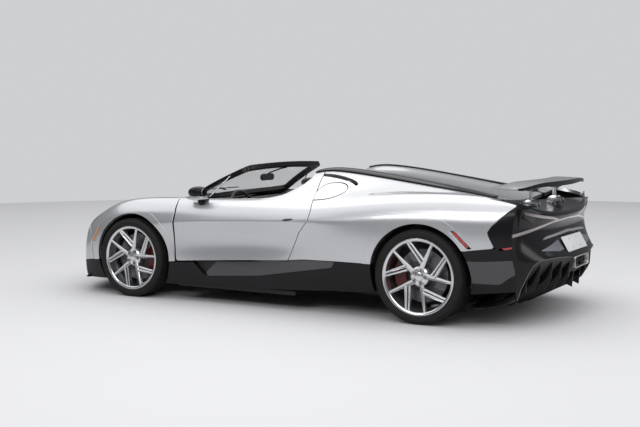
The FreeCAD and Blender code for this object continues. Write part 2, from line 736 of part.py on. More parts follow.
def steering_place():
    tilt = math.radians(steering_tilt)
    return at(steering_centre_x, -driver_y, steering_centre_z), Vector(math.cos(tilt), 0, math.sin(tilt))


def steering():
    """The steering wheel and its column, which turn together."""
    centre, axis = steering_place()
    ring = Part.makeTorus(steering_wheel_radius, steering_rim_radius, centre, axis)
    hub = Part.makeCylinder(48, 30, centre - axis * 38, axis)
    up = axis.cross(Vector(0, 1, 0))
    spokes = []
    for angle in (0, 180, 90):
        turn = math.radians(angle)
        way = Vector(0, 1, 0) * math.cos(turn) + up * math.sin(turn)
        spokes.append(Part.makeCylinder(11, steering_wheel_radius - 4, centre - axis * 22, way + axis * 0.11))
    length = steering_column_length
    column = Part.makeCylinder(column_radius, length, centre - axis * (38 + length), axis)
    save("steering_wheel", ring.fuse([hub, column] + spokes))
    print("steering wheel centre", centre, "axis", axis)


hub_depth = 150.0
disc_inset = 112.0
post_depth = 40.0
knuckle_half_height = 150.0


def rim(axle_x, tyre_radius, width, rim_radius, face, phase):
    """A left wheel's rim with its hub and forked spokes, outer face towards -y."""
    y_out = -face
    y_in = -(face - width)
    profile = []
    for r, y in (
        (rim_radius + 14, y_out + 6), (rim_radius + 14, y_out + 14), (rim_radius, y_out + 20),
        (rim_radius - 6, y_out + 60), (rim_radius - 22, y_out + 110), (rim_radius - 22, y_in - 60),
        (rim_radius, y_in - 22), (rim_radius + 10, y_in - 14), (rim_radius + 10, y_in - 8),
        (rim_radius - 12, y_in - 12), (rim_radius - 34, y_in - 60), (rim_radius - 34, y_out + 110),
        (rim_radius - 20, y_out + 55), (rim_radius - 14, y_out + 12), (rim_radius - 4, y_out + 6),
    ):
        profile.append(Vector(axle_x, y, tyre_radius + r))
    barrel = Part.Face(outline(profile)).revolve(Vector(axle_x, 0, tyre_radius), Vector(0, 1, 0), 360)
    hub = rod_y(axle_x, tyre_radius, hub_radius, y_out + 34, y_out + hub_depth)
    spokes = []
    for k in range(spoke_count):
        angle = 2 * math.pi * k / spoke_count + math.radians(phase)
        spokes += forked_spoke(axle_x, tyre_radius, rim_radius, y_out, angle)
    return barrel.fuse([hub] + spokes)


def forked_spoke(axle_x, axle_z, rim_radius, y_out, angle):
    """A straight spoke, and the branch that leaves it for the rim: flat bars in the wheel's face."""
    def place(r, turn):
        a = angle + math.radians(turn)
        return Vector(axle_x + r * math.cos(a), y_out + 16, axle_z + r * math.sin(a))

    end = rim_radius - 8
    fork = rim_radius * fork_share
    bars = []
    for start, stop, inner_half, outer_half in (
        (place(hub_radius - 30, 14), place(end, 0), 20, 11),
        (place(fork * 0.88, 8), place(end, branch_turn + 2), 20, 16),
    ):
        way = (stop - start).normalize()
        across = Vector(-way.z, 0, way.x)
        wire = outline([start - across * inner_half, stop - across * outer_half, stop + across * outer_half,
                        start + across * inner_half])
        bars.append(Part.Face(wire).extrude(Vector(0, spoke_depth, 0)))
    return bars


def tyre(axle_x, tyre_radius, width, rim_radius, face):
    y_out = -face
    y_in = -(face - width)
    half = ((rim_radius + 14.5, 14.0), (tyre_radius - 34, 1.0), (tyre_radius - 20, 0.0), (tyre_radius - 7, 7.0),
            (tyre_radius, 22.0))
    points = [Vector(axle_x, y_out + inset, tyre_radius + r) for r, inset in half]
    points += [Vector(axle_x, y_in - inset, tyre_radius + r) for r, inset in reversed(half)]
    return Part.Face(outline(points)).revolve(Vector(axle_x, 0, tyre_radius), Vector(0, 1, 0), 360)


def brake_disc(axle_x, axle_z, face):
    """A disc round the hub's inner end."""
    y = -(face - disc_inset)
    disc = rod_y(axle_x, axle_z, disc_radius, y, y + disc_thickness)
    return disc.cut(rod_y(axle_x, axle_z, hub_radius, y - 5, y + disc_thickness + 5))


def caliper(axle_x, axle_z, face, turned):
    """A caliper that straddles the disc, on the side of the axle that turned gives."""
    y = -(face - disc_inset)
    outer = rod_y(axle_x, axle_z, disc_radius + 19, y - 26, y + disc_thickness + 26)
    inner = rod_y(axle_x, axle_z, disc_radius - 74, y - 40, y + disc_thickness + 80)
    wedge_points = [Vector(axle_x, y - 50, axle_z)]
    for angle in (-32, 0, 32):
        a = math.radians(turned + angle)
        wedge_points.append(Vector(axle_x + 400 * math.cos(a), y - 50, axle_z + 400 * math.sin(a)))
    wedge = Part.Face(outline(wedge_points)).extrude(Vector(0, 200, 0))
    slot = rod_y(axle_x, axle_z, disc_radius + caliper_clearance, y - caliper_clearance,
                 y + disc_thickness + caliper_clearance)
    return outer.cut(inner).common(wedge).cut(slot)


def post_y(face):
    """The middle of the upright's post, across the car."""
    return face - hub_depth - running_gap - post_depth / 2


def upright(axle_x, axle_z, face, turned):
    """The carrier that holds a wheel: a post inside the rim, its spindle in the hub's bore and its caliper."""
    middle = -post_y(face)
    post = raw_box(axle_x - 45, axle_x + 45, middle - post_depth / 2, middle + post_depth / 2,
                   axle_z - knuckle_half_height, axle_z + knuckle_half_height)
    spindle = rod_y(axle_x, axle_z, spindle_radius, -(face - 60), middle)
    y = -(face - disc_inset) + disc_thickness + caliper_clearance
    arm = raw_box(0, disc_radius - 20, y, middle + post_depth / 2, -20, 20)
    arm.rotate(Vector(0, 0, 0), Vector(0, 1, 0), -turned)
    arm.translate(Vector(axle_x, 0, axle_z))
    return post.fuse([spindle, arm, caliper(axle_x, axle_z, face, turned)])


def running_gear():
    for end, axle_x, radius, width, rim_radius, face, phase in (
        ("front", front_axle_x, front_tyre_radius, front_tyre_width, front_rim_radius, front_wheel_face,
         front_spoke_turn),
        ("rear", rear_axle_x, rear_tyre_radius, rear_tyre_width, rear_rim_radius, rear_wheel_face, rear_spoke_turn),
    ):
        bore = rod_y(axle_x, radius, spindle_radius + bearing_clearance, -(face - 50), -(face - hub_depth - 20))
        wheel = rim(axle_x, radius, width, rim_radius, face, phase).cut(bore)
        disc = brake_disc(axle_x, radius, face)
        shoe = tyre(axle_x, radius, width, rim_radius, face)
        for side, turn in (("left", lambda s: s), ("right", mirrored)):
            save("rim_" + end + "_" + side, turn(wheel))
            save("disc_" + end + "_" + side, turn(disc))
            save("tyre_" + end + "_" + side, turn(shoe))
    kingpin_y = -post_y(front_wheel_face)
    z_low = front_tyre_radius - knuckle_half_height
    z_high = front_tyre_radius + knuckle_half_height
    kingpin = Part.makeCylinder(kingpin_radius, z_high - z_low + 50, Vector(front_axle_x, kingpin_y, z_low - 25),
                                Vector(0, 0, 1))
    knuckle = upright(front_axle_x, front_tyre_radius, front_wheel_face, 0).fuse(kingpin)
    save("knuckle_left", knuckle)
    save("knuckle_right", mirrored(knuckle))
    rear = upright(rear_axle_x, rear_tyre_radius, rear_wheel_face, 180)
    shaft = rod_y(rear_axle_x, rear_tyre_radius, 24, -post_y(rear_wheel_face), -py(310))
    save("rear_uprights", pair(rear.fuse(shaft)))
    tower_y = -py(nose_tub_half_width) - seat_gap
    arms = []
    for z in (z_low - 5 - 18, z_high + 5):
        plan = [Vector(front_axle_x - 150, tower_y, z), Vector(front_axle_x - 18, kingpin_y - 20, z),
                Vector(front_axle_x + 18, kingpin_y - 20, z), Vector(front_axle_x + 150, tower_y, z)]
        arms.append(Part.Face(outline(plan)).extrude(Vector(0, 0, 18)))
    tower = raw_box(front_axle_x - 170, front_axle_x + 170, tower_y - tower_thickness, tower_y, pz(140), pz(640))
    bore = Part.makeCylinder(kingpin_radius + bearing_clearance, 600, Vector(front_axle_x, kingpin_y, 0),
                             Vector(0, 0, 1))
    save("front_arms", pair(tower.fuse(arms).cut(bore)))
    print("kingpin", front_axle_x, kingpin_y)


wing_tip_fall = 38.0


def wing():
    """The raised rear wing's blade and its two posts."""
    net = []
    for share, drop in ((0.0, 6.0), (0.08, -6.0), (0.45, -10.0), (0.8, 2.0), (1.0, 10.0)):
        row = []
        for y_share in (-1.0, -0.9, -0.66, -0.4, 0.0, 0.4, 0.66, 0.9, 1.0):
            side = abs(y_share)
            fall = wing_tip_fall * max(0.0, (side - 0.5) / 0.5) ** 1.5
            row.append(at(wing_front_x + wing_sweep * (1 - side ** 2) + wing_chord * share, wing_half_span * y_share,
                          wing_height - fall + drop))
        net.append(row)
    blade = thick_patch(net, wing_thickness)
    posts = []
    for side in (-1, 1):
        top = at(wing_front_x + 130, side * wing_post_y, wing_height - 20)
        posts.append(Part.makeCylinder(wing_post_radius, wing_post_length, top - Vector(0, 0, wing_post_length),
                                       Vector(0, 0, 1)))
    return blade, posts


def wing_pieces(tray, tail_tools):
    """The wing, and the dark tray in the tail that its posts slide in."""
    blade, posts = wing()
    save("rear_wing", blade.fuse(posts))
    tray = tray.common(box(recess_front_x, 3620, -recess_half_width, recess_half_width, 600, recess_floor_z))
    tray = tray.cut(tail_tools)
    tray = max(tray.Solids, key=lambda solid: solid.Volume)
    sleeves = []
    bores = []
    for post in posts:
        x = post.CenterOfMass.x
        y = post.CenterOfMass.y
        sleeves.append(Part.makeCylinder(wing_post_radius + wing_sleeve_clearance + wing_sleeve_wall, 150,
                                         Vector(x, y, pz(660)), Vector(0, 0, 1)))
        bores.append(Part.makeCylinder(wing_post_radius + wing_sleeve_clearance, 500,
                                       Vector(x, y, pz(600)), Vector(0, 0, 1)))
    save("wing_carrier", tray.fuse(sleeves).cut(bores))


def mirrors(door):
    """The outside mirrors: a rounded head, flat at its glass, on an arm that stands on the door."""
    ball = Part.makeSphere(1.0)
    stretch = FreeCAD.Matrix()
    stretch.scale(mirror_length, mirror_half_width, mirror_half_height)
    head = ball.transformGeometry(stretch)
    head.translate(at(mirror_x, -mirror_y, mirror_z))
    glass_x = px(mirror_x) + mirror_length * mirror_glass_share
    head = head.cut(raw_box(glass_x, glass_x + 300, -1300, -500, 500, 1300))
    arm = side_prism(mirror_arm_line, -mirror_y, -mirror_foot_y)
    mirror = head.fuse(arm).cut(door)
    mirror = max(mirror.Solids, key=lambda solid: solid.Volume)
    save("mirror_left", mirror)
    save("mirror_right", mirrored(mirror))


os.makedirs("parts", exist_ok=True)
corners, markers, quarter_pair, sill_pair, wing_pair, left_door, tail_tray = body_panels()
wing_pieces(tail_tray, tail_pieces(corners, markers, quarter_pair))
glazing(wing_pair)
cabin(sill_pair)
steering()
running_gear()
mirrors(left_door)
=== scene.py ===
import json
import math

import bmesh
import bpy
import numpy as np
from mathutils import Matrix, Vector
from mathutils.bvhtree import BVHTree
from mathutils.geometry import delaunay_2d_cdt


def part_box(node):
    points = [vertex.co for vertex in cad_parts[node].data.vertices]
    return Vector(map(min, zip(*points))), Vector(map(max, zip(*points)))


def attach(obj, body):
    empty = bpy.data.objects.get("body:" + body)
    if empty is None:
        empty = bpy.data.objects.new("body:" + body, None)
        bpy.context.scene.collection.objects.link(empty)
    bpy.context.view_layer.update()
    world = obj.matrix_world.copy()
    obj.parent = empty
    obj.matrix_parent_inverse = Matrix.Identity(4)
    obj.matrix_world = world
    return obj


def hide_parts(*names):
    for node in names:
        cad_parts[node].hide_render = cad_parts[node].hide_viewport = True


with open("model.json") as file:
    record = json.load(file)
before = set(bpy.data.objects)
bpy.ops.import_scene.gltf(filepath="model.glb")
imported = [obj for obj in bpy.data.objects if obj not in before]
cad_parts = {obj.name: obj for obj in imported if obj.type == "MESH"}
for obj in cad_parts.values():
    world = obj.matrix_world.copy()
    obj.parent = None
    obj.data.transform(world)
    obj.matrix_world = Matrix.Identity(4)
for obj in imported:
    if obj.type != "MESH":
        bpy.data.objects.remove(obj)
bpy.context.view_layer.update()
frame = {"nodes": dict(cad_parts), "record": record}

scene = bpy.context.scene

# Places on the car are drawn in millimetres from the front axle, x rearwards. carX moves them into the frame.
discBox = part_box("disc_front_left")
frontAxleX = (discBox[0].x + discBox[1].x) / 2
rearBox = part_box("disc_rear_left")
rearAxleX = (rearBox[0].x + rearBox[1].x) / 2
made = {}
sides = (("left", -1), ("right", 1))


# Node trees

class Val:
    # one socket, so that a sum of values adds its Math nodes

    def __init__(self, tree, socket):
        self.tree = tree
        self.socket = socket

    def math(self, operation, other=None):
        inputs = [self] if other is None else [self, other]
        return self.tree.add("ShaderNodeMath", {"operation": operation}, inputs)

    def __add__(self, other):
        return self.math("ADD", other)

    def __sub__(self, other):
        return self.math("SUBTRACT", other)

    def __rsub__(self, other):
        return self.tree.add("ShaderNodeMath", {"operation": "SUBTRACT"}, [other, self])

    def __mul__(self, other):
        return self.math("MULTIPLY", other)

    def __truediv__(self, other):
        return self.math("DIVIDE", other)

    def over(self, low, high):
        # 0 at low, 1 at high, held between
        return self.tree.add("ShaderNodeMapRange", {"clamp": True},
                             {"Value": self, "From Min": low, "From Max": high})


class Tree:
    def __init__(self, owner):
        self.nodes = owner.nodes
        self.links = owner.links

    def add(self, kind, settings=None, inputs=None, out=0):
        node = self.nodes.new(kind)
        for key, value in (settings or {}).items():
            setattr(node, key, value)
        pairs = inputs.items() if isinstance(inputs, dict) else enumerate(inputs or [])
        for key, value in pairs:
            self.put(node.inputs[key], value)
        return Val(self, node.outputs[out])

    def put(self, socket, value):
        if isinstance(value, Val):
            self.links.new(value.socket, socket)
        elif hasattr(socket, "default_value"):
            if isinstance(value, tuple) and len(value) == 3 and len(socket.default_value) == 4:
                value = (*value, 1)
            socket.default_value = value

    def place(self, scale=(1, 1, 1)):
        return self.add("ShaderNodeMapping", None,
                        {"Vector": self.add("ShaderNodeTexCoord", out="Object"), "Scale": scale})

    def noise(self, scale, detail=3.0, rough=0.5, at=None):
        vector = at or self.add("ShaderNodeTexCoord", out="Object")
        return self.add("ShaderNodeTexNoise", None,
                        {"Vector": vector, "Scale": scale, "Detail": detail, "Roughness": rough})

    def mix(self, share, first, second):
        return self.add("ShaderNodeMix", {"data_type": "RGBA"}, {0: share, 6: first, 7: second}, out=2)

    def bump(self, height, strength, distance):
        return self.add("ShaderNodeBump", None,
                        {"Height": height, "Strength": strength, "Distance": distance})


def material(name, slotName, settings, build=None):
    # a Principled material: settings are fixed sockets, build(tree, shader) links what varies over it
    mat = bpy.data.materials.new(name)
    mat.use_nodes = True
    tree = Tree(mat.node_tree)
    shader = mat.node_tree.nodes["Principled BSDF"]
    for key, value in settings.items():
        tree.put(shader.inputs[key], value)
    if build:
        build(tree, shader)
    mat["slotName"] = slotName
    made[name] = mat
    return mat


# Finishes

paintLook = {"tone": (0.56, 0.565, 0.585), "metal": 0.78, "rough": 0.3, "flake": 900.0, "flakeShare": 0.1}
carbonLook = {"threads": 240.0}


def buildPaint(tree, shader):
    flake = tree.noise(paintLook["flake"], 1.0)
    cloud = tree.noise(1.3, 2.0)
    tone = paintLook["tone"]
    deep = tuple(part * 0.9 for part in tone)
    base = tree.mix(cloud, deep, tone)
    tree.put(shader.inputs["Base Color"],
             tree.mix(flake.over(0.35, 0.8) * paintLook["flakeShare"], base, (1, 1, 1)))
    tree.put(shader.inputs["Roughness"], flake * 0.08 + (paintLook["rough"] - 0.04))


def buildCarbon(tree, shader):
    # twill: two bands of crossing threads, stepped along one diagonal
    point = tree.add("ShaderNodeTexCoord", out="Object")
    parts = tree.add("ShaderNodeSeparateXYZ", None, [point])
    across = Val(tree, parts.socket.node.outputs[1])
    up = Val(tree, parts.socket.node.outputs[2])
    a = (parts + across * 0.35) * carbonLook["threads"]
    b = (across * 0.65 + up) * carbonLook["threads"]
    step = ((a.math("FLOOR") + b.math("FLOOR")) / 4.0).math("FRACT")
    warp = step.math("LESS_THAN", 0.5)
    fromA = (a.math("FRACT") - 0.5).math("ABSOLUTE")
    fromB = (b.math("FRACT") - 0.5).math("ABSOLUTE")
    thread = fromA * warp + fromB * (1 - warp)
    # the base colour follows the twill: one band of threads and the crown of each thread are painted lighter,
    # a painted sheen and highlight on the black fibres
    weaveSheen = warp * 0.6 + (0.5 - thread) * 0.5
    tree.put(shader.inputs["Base Color"], tree.mix(weaveSheen, (0.005, 0.005, 0.006), (0.024, 0.025, 0.027)))
    tree.put(shader.inputs["Roughness"], 0.42 - weaveSheen * 0.14)


def buildLeather(tree, shader):
    pores = tree.add("ShaderNodeTexVoronoi", {"feature": "DISTANCE_TO_EDGE"},
                     {"Vector": tree.place((1, 1, 1)), "Scale": 240.0})
    creaseAndShade = tree.noise(26.0, 4.0)
    # the same noise is the creases' height in the bump, so the leather is painted darker where its creases
    # sink: painted shade
    tree.put(shader.inputs["Base Color"], tree.mix(creaseAndShade, (0.020, 0.020, 0.021), (0.040, 0.039, 0.040)))
    tree.put(shader.inputs["Roughness"], creaseAndShade * 0.18 + 0.38)
    tree.put(shader.inputs["Normal"], tree.bump(pores.over(0.0, 0.12) + creaseAndShade * 0.6, 0.18, 0.0006))


# A pattern is a function of the tree that adds its nodes.

def noise(scale, detail=3.0):
    return lambda tree: tree.noise(scale, detail)


def brushed(stretch, detail=3.0):
    # noise drawn out along the axes of its smaller scales
    return lambda tree: tree.noise(1.0, detail, 0.6, tree.place(stretch))


def ribbed(direction, scale):
    settings = {"wave_type": "BANDS", "bands_direction": direction}
    return lambda tree: tree.add("ShaderNodeTexWave", settings, {"Vector": tree.place(), "Scale": scale})


def finish(name, slotName, settings, tint, rough=None, bump=None):
    # tint is (pattern, dark colour, light colour), rough (pattern, weight, least) and
    # bump (pattern, strength, distance). A pattern given twice is one node.
    added = {}

    def draw(tree, pattern):
        if pattern not in added:
            added[pattern] = pattern(tree)
        return added[pattern]

    def build(tree, shader):
        tree.put(shader.inputs["Base Color"], tree.mix(draw(tree, tint[0]), *tint[1:]))
        if rough:
            tree.put(shader.inputs["Roughness"], draw(tree, rough[0]) * rough[1] + rough[2])
        if bump:
            tree.put(shader.inputs["Normal"], tree.bump(draw(tree, bump[0]), *bump[1:]))

    material(name, slotName, settings, build)


dust = noise(7.0, 4.0)
flakes = noise(800.0, 1.0)
cast = noise(150.0, 3.0)
brush = brushed((260, 8, 260))
turned = brushed((60, 500, 60), 4.0)
wear = noise(30.0, 4.0)
smear = noise(9.0)
pile = noise(700.0, 2.0)
glow = noise(4.0, 1.0)
lensRibs = ribbed("Y", 60.0)
markerRibs = ribbed("Z", 60.0)

material("silverPaint", "silver_paint",
         {"Metallic": paintLook["metal"], "Coat Weight": 1.0, "Coat Roughness": 0.04, "Coat IOR": 1.5},
         buildPaint)
finish("glossBlack", "gloss_black", {"Specular IOR Level": 0.16, "Coat Weight": 0.10, "Coat Roughness": 0.05},
       (dust, (0.005, 0.005, 0.006), (0.010, 0.010, 0.011)), (dust, 0.1, 0.13))
material("carbonWeave", "carbon", {"Specular IOR Level": 0.25, "Coat Weight": 0.12, "Coat Roughness": 0.06},
         buildCarbon)
finish("darkPaint", "gloss_black", {"Metallic": 0.6, "Coat Weight": 0.5, "Coat Roughness": 0.08},
       (noise(2.0), (0.050, 0.050, 0.053), (0.075, 0.075, 0.079)), (flakes, 0.1, 0.28))
finish("cabinTrim", "cabin_trim", {"Roughness": 0.62},
       (noise(5.0), (0.016, 0.016, 0.017), (0.028, 0.028, 0.030)), bump=(noise(420.0, 2.0), 0.25, 0.0006))
material("seatLeather", "seat_leather", {"Specular IOR Level": 0.4}, buildLeather)
finish("polishedAlloy", "polished_alloy", {"Metallic": 0.95},
       (brush, (0.60, 0.605, 0.62), (0.72, 0.725, 0.74)), (brush, 0.1, 0.14))
# the disc's iron is painted darker than bare iron: painted shade inside the wheel
finish("discIron", "disc_iron", {"Metallic": 0.85}, (turned, (0.11, 0.11, 0.113), (0.19, 0.19, 0.195)),
       (turned, 0.15, 0.3))
for name, slotName, metallic in (("bareSteel", "bare_steel", 0.6), ("castMetal", "cast_metal", 0.5)):
    finish(name, slotName, {"Metallic": metallic},
           (noise(6.0, 4.0), (0.07, 0.07, 0.072), (0.15, 0.145, 0.14)), (cast, 0.2, 0.45),
           (cast, 0.3, 0.0008))
finish("tyreRubber", "tyre_rubber", {"Specular IOR Level": 0.25},
       (wear, (0.007, 0.007, 0.007), (0.016, 0.016, 0.016)), (wear, 0.2, 0.6),
       (noise(900.0, 2.0), 0.15, 0.0004))
finish("plateFace", "plate", {"Roughness": 0.4}, (noise(9.0), (0.62, 0.63, 0.64), (0.68, 0.69, 0.70)),
       bump=(noise(300.0, 2.0), 0.1, 0.0003))
finish("exhaustMetal", "exhaust_metal", {"Metallic": 0.95},
       (noise(12.0, 2.0), (0.42, 0.41, 0.40), (0.56, 0.54, 0.52)), (brushed((12, 500, 500)), 0.2, 0.2))
finish("redLens", "red_lens", {"Roughness": 0.12, "Coat Weight": 0.8, "Coat Roughness": 0.03},
       (lensRibs, (0.30, 0.012, 0.016), (0.55, 0.03, 0.035)), bump=(lensRibs, 0.3, 0.001))
finish("amberLens", "red_lens", {"Roughness": 0.15, "Coat Weight": 0.8, "Coat Roughness": 0.03},
       (markerRibs, (0.55, 0.16, 0.03), (0.80, 0.30, 0.07)), bump=(markerRibs, 0.3, 0.001))
finish("lightBar", "red_lens", {"Roughness": 0.18, "Coat Weight": 0.8, "Coat Roughness": 0.03},
       (ribbed("Y", 30.0), (0.24, 0.20, 0.21), (0.36, 0.33, 0.34)))
finish("mirrorGlass", "polished_alloy", {"Metallic": 1.0}, (smear, (0.60, 0.62, 0.64), (0.66, 0.68, 0.70)),
       (smear, 0.03, 0.02))
finish("threadGrey", "seat_leather", {"Roughness": 0.7},
       (noise(1500.0, 1.0), (0.16, 0.16, 0.165), (0.26, 0.26, 0.27)))
finish("carpet", "cabin_trim", {"Roughness": 0.95}, (pile, (0.012, 0.012, 0.013), (0.035, 0.035, 0.037)),
       bump=(pile, 0.6, 0.0015))
finish("screenFace", "gloss_black", {"Coat Weight": 0.5, "Coat Roughness": 0.03},
       (glow, (0.006, 0.007, 0.009), (0.012, 0.014, 0.018)), (glow, 0.05, 0.08))
finish("lampLight", "lamp_lens", {"Roughness": 0.25, "Coat Weight": 0.4},
       (ribbed("X", 45.0), (0.62, 0.64, 0.68), (0.86, 0.88, 0.90)))
finish("greyPaint", "gloss_black", {"Metallic": 0.7, "Coat Weight": 0.5, "Coat Roughness": 0.08},
       (noise(2.0), (0.20, 0.20, 0.23), (0.27, 0.27, 0.31)), (flakes, 0.1, 0.25))
# the calipers' red is painted dark: painted shade inside the wheel
finish("caliperPaint", "bare_steel",
       {"Roughness": 0.35, "Specular IOR Level": 0.3, "Coat Weight": 0.15, "Coat Roughness": 0.08},
       (noise(20.0), (0.060, 0.006, 0.007), (0.10, 0.009, 0.011)))


def buildGlass(name, slotName, tint, clear):
    # thin glass: mostly see-through, with the shader's own gloss on top
    mat = material(name, slotName, {"Base Color": (*tint, 1), "Roughness": 0.02, "Coat Weight": 0.5})
    tree = Tree(mat.node_tree)
    shader = mat.node_tree.nodes["Principled BSDF"]
    edge = tree.add("ShaderNodeFresnel", None, {"IOR": 1.45})
    smear = tree.noise(3.0, 3.0)
    tree.put(shader.inputs["Alpha"], edge * (0.5 * (1.2 - clear)) + smear * 0.02 + (1 - clear) * 0.5)
    return mat


buildGlass("clearGlass", "clear_glass", (0.20, 0.25, 0.24), 0.9)
buildGlass("lampLens", "lamp_lens", (0.12, 0.125, 0.13), 0.45)
print("finishes ready:", len(made))


# Surfaces and panels

bodyLook = {
    "stepsAlong": 22,     # grid lines in each span of the body's surface, along the car
    "stepsAcross": 8,     # and across it
    "gap": 0.0028,        # half of the gap between two panels
    "edge": 0.0032,       # the round of a panel's edge
    "skin": 0.030,        # depth of a panel's folded edge
    "doorSkin": 0.070,
    "wingEdge": 0.004,    # depth of a front wing's edge beside its door
}


def carX(x):
    # a drawn x in millimetres from the front axle, in metres in the frame
    return x / 1000 + frontAxleX


def basis(count, t):
    # the first pole and the four weights of a clamped cubic spline at each t
    spans = count - 3
    knots = np.concatenate([np.zeros(3), np.arange(spans + 1.0), np.full(3, float(spans))])
    first = np.minimum(np.floor(t).astype(int), spans - 1)
    place = first + 3
    weights = [np.ones_like(t)]
    left = [None]
    right = [None]
    for d in (1, 2, 3):
        left.append(t - knots[place + 1 - d])
        right.append(knots[place + d] - t)
        saved = np.zeros_like(t)
        step = []
        for r in range(d):
            term = weights[r] / (right[r + 1] + left[d - r])
            step.append(saved + right[r + 1] * term)
            saved = left[d - r] * term
        step.append(saved)
        weights = step
    return first, weights


class Surface:
    # a clamped cubic spline surface over rows of poles

    def __init__(self, net):
        self.net = np.array(net, float)
        self.rows, self.columns = self.net.shape[:2]
        self.ends = (self.rows - 3.0, self.columns - 3.0)

    def at(self, uv):
        u = np.clip(uv[:, 0], 0, self.ends[0] - 1e-9)
        v = np.clip(uv[:, 1], 0, self.ends[1] - 1e-9)
        firstU, weightsU = basis(self.rows, u)
        firstV, weightsV = basis(self.columns, v)
        total = np.zeros((len(u), 3))
        for i in range(4):
            for j in range(4):
                total += (weightsU[i] * weightsV[j])[:, None] * self.net[firstU + i, firstV + j]
        return total

    def normals(self, uv):
        h = 2e-3
        a = self.at(uv + (h, 0)) - self.at(uv - (h, 0))
        b = self.at(uv + (0, h)) - self.at(uv - (0, h))
        n = np.cross(a, b)
        size = np.linalg.norm(n, axis=1)[:, None]
        return n / np.maximum(size, 1e-12)

    def grid(self, stepsU, stepsV):
        us = np.linspace(0, self.ends[0], int(self.ends[0] * stepsU) + 1)
        vs = np.linspace(0, self.ends[1], int(self.ends[1] * stepsV) + 1)
        uv = np.stack(np.meshgrid(us, vs, indexing="ij"), -1).reshape(-1, 2)
        i = np.arange(len(us) - 1)[:, None]
        j = np.arange(len(vs) - 1)[None, :]
        a = i * len(vs) + j
        b = a + len(vs)
        faces = np.stack([a, b, b + 1, a + 1], -1).reshape(-1, 4)
        return uv, faces


def outlineField(points, first, second):
    # distance from an outline drawn on two of the axes, less than 0 inside it
    points = np.array(points, float)

    def field(place):
        x = place[:, first]
        y = place[:, second]
        best = np.full(len(x), 1e9)
        inside = np.zeros(len(x), bool)
        for a, b in zip(points, np.roll(points, -1, axis=0)):
            run = b - a
            size = max(run @ run, 1e-12)
            t = np.clip(((x - a[0]) * run[0] + (y - a[1]) * run[1]) / size, 0, 1)
            best = np.minimum(best, np.hypot(x - a[0] - t * run[0], y - a[1] - t * run[1]))
            crosses = (a[1] > y) != (b[1] > y)
            if abs(run[1]) > 1e-12:
                inside ^= crosses & (x < a[0] + run[0] * (y - a[1]) / run[1])
        return np.where(inside, -best, best)

    return field


def sideArea(points):
    # drawn (x, z) in millimetres
    return outlineField([(carX(x), z / 1000) for x, z in points], 0, 2)


def planArea(points):
    # drawn (x, y) in millimetres, with its mirror image
    half = [(carX(x), y / 1000) for x, y in points]
    return outlineField([(x, -y) for x, y in half] + [(x, y) for x, y in reversed(half)], 0, 1)


def less(axis, limit):
    return lambda place: place[:, axis] - limit


def more(axis, limit):
    return lambda place: limit - place[:, axis]


def within(limit):
    return lambda place: np.abs(place[:, 1]) - limit


def beyond(limit):
    return lambda place: limit - np.abs(place[:, 1])


def onSide(sign):
    # less than 0 on one side of the car
    return lambda place: -sign * place[:, 1]


def outside(field):
    return lambda place: -field(place)


def both(*fields):
    # less than 0 inside every field
    return lambda place: np.max([field(place) for field in fields], axis=0)


def either(*fields):
    # less than 0 inside one field or more
    return lambda place: np.min([field(place) for field in fields], axis=0)


def smoothRing(points, rounds=2):
    # a closed outline with its corners cut twice
    for _ in range(rounds):
        wider = []
        for a, b in zip(points, points[1:] + points[:1]):
            wider.append((a[0] * 0.75 + b[0] * 0.25, a[1] * 0.75 + b[1] * 0.25))
            wider.append((a[0] * 0.25 + b[0] * 0.75, a[1] * 0.25 + b[1] * 0.75))
        points = wider
    return points


def clip(surface, uv, faces, field, shrink):
    # keeps what lies inside a field, with its edge exactly on the field's line
    value = field(surface.at(uv)) + shrink
    value = np.where(np.abs(value) < 1e-7, 1e-7, value)
    uvs = list(uv)
    cut = {}
    pairs = []
    kept = []
    sides = [value[np.array(face)] < 0 for face in faces] if isinstance(faces, list) else None
    if sides is None:
        signs = value[faces] < 0
        full = signs.all(1)
        mixed = signs.any(1) & ~full
        kept = [tuple(face) for face in faces[full].tolist()]
        crossing = [tuple(face) for face in faces[mixed].tolist()]
    else:
        crossing = []
        for face, side in zip(faces, sides):
            if side.all():
                kept.append(face)
            elif side.any():
                crossing.append(face)
    count = len(uvs)
    for face in crossing:
        loop = []
        for a, b in zip(face, face[1:] + face[:1]):
            if value[a] < 0:
                loop.append(a)
            if (value[a] < 0) != (value[b] < 0):
                key = (min(a, b), max(a, b))
                if key not in cut:
                    cut[key] = count + len(pairs)
                    pairs.append(key)
                loop.append(cut[key])
        if len(loop) > 2:
            kept.append(tuple(loop))
    if pairs:
        ends = np.array(pairs)
        low = uv[ends[:, 0]].copy()
        high = uv[ends[:, 1]].copy()
        fLow = value[ends[:, 0]].copy()
        fHigh = value[ends[:, 1]].copy()
        for _ in range(4):
            share = (fLow / (fLow - fHigh))[:, None]
            middle = low + (high - low) * share
            fMiddle = field(surface.at(middle)) + shrink
            same = (fMiddle < 0) == (fLow < 0)
            low[same] = middle[same]
            fLow[same] = np.where(np.abs(fMiddle[same]) < 1e-9, fLow[same] * 1e-3, fMiddle[same])
            high[~same] = middle[~same]
            fHigh[~same] = np.where(np.abs(fMiddle[~same]) < 1e-9, fHigh[~same] * 1e-3, fMiddle[~same])
        uv = np.vstack([uv, middle])
    used = np.unique(np.concatenate([np.array(face) for face in kept])) if kept else np.array([], int)
    renumber = np.full(len(uv), -1)
    renumber[used] = np.arange(len(used))
    kept = [tuple(renumber[list(face)].tolist()) for face in kept]
    return uv[used], kept


def openEdges(faces):
    # edges that only one face has, as (start, end) in that face's order
    seen = {}
    for face in faces:
        for a, b in zip(face, face[1:] + face[:1]):
            if (b, a) in seen:
                del seen[(b, a)]
            else:
                seen[(a, b)] = True
    return list(seen)


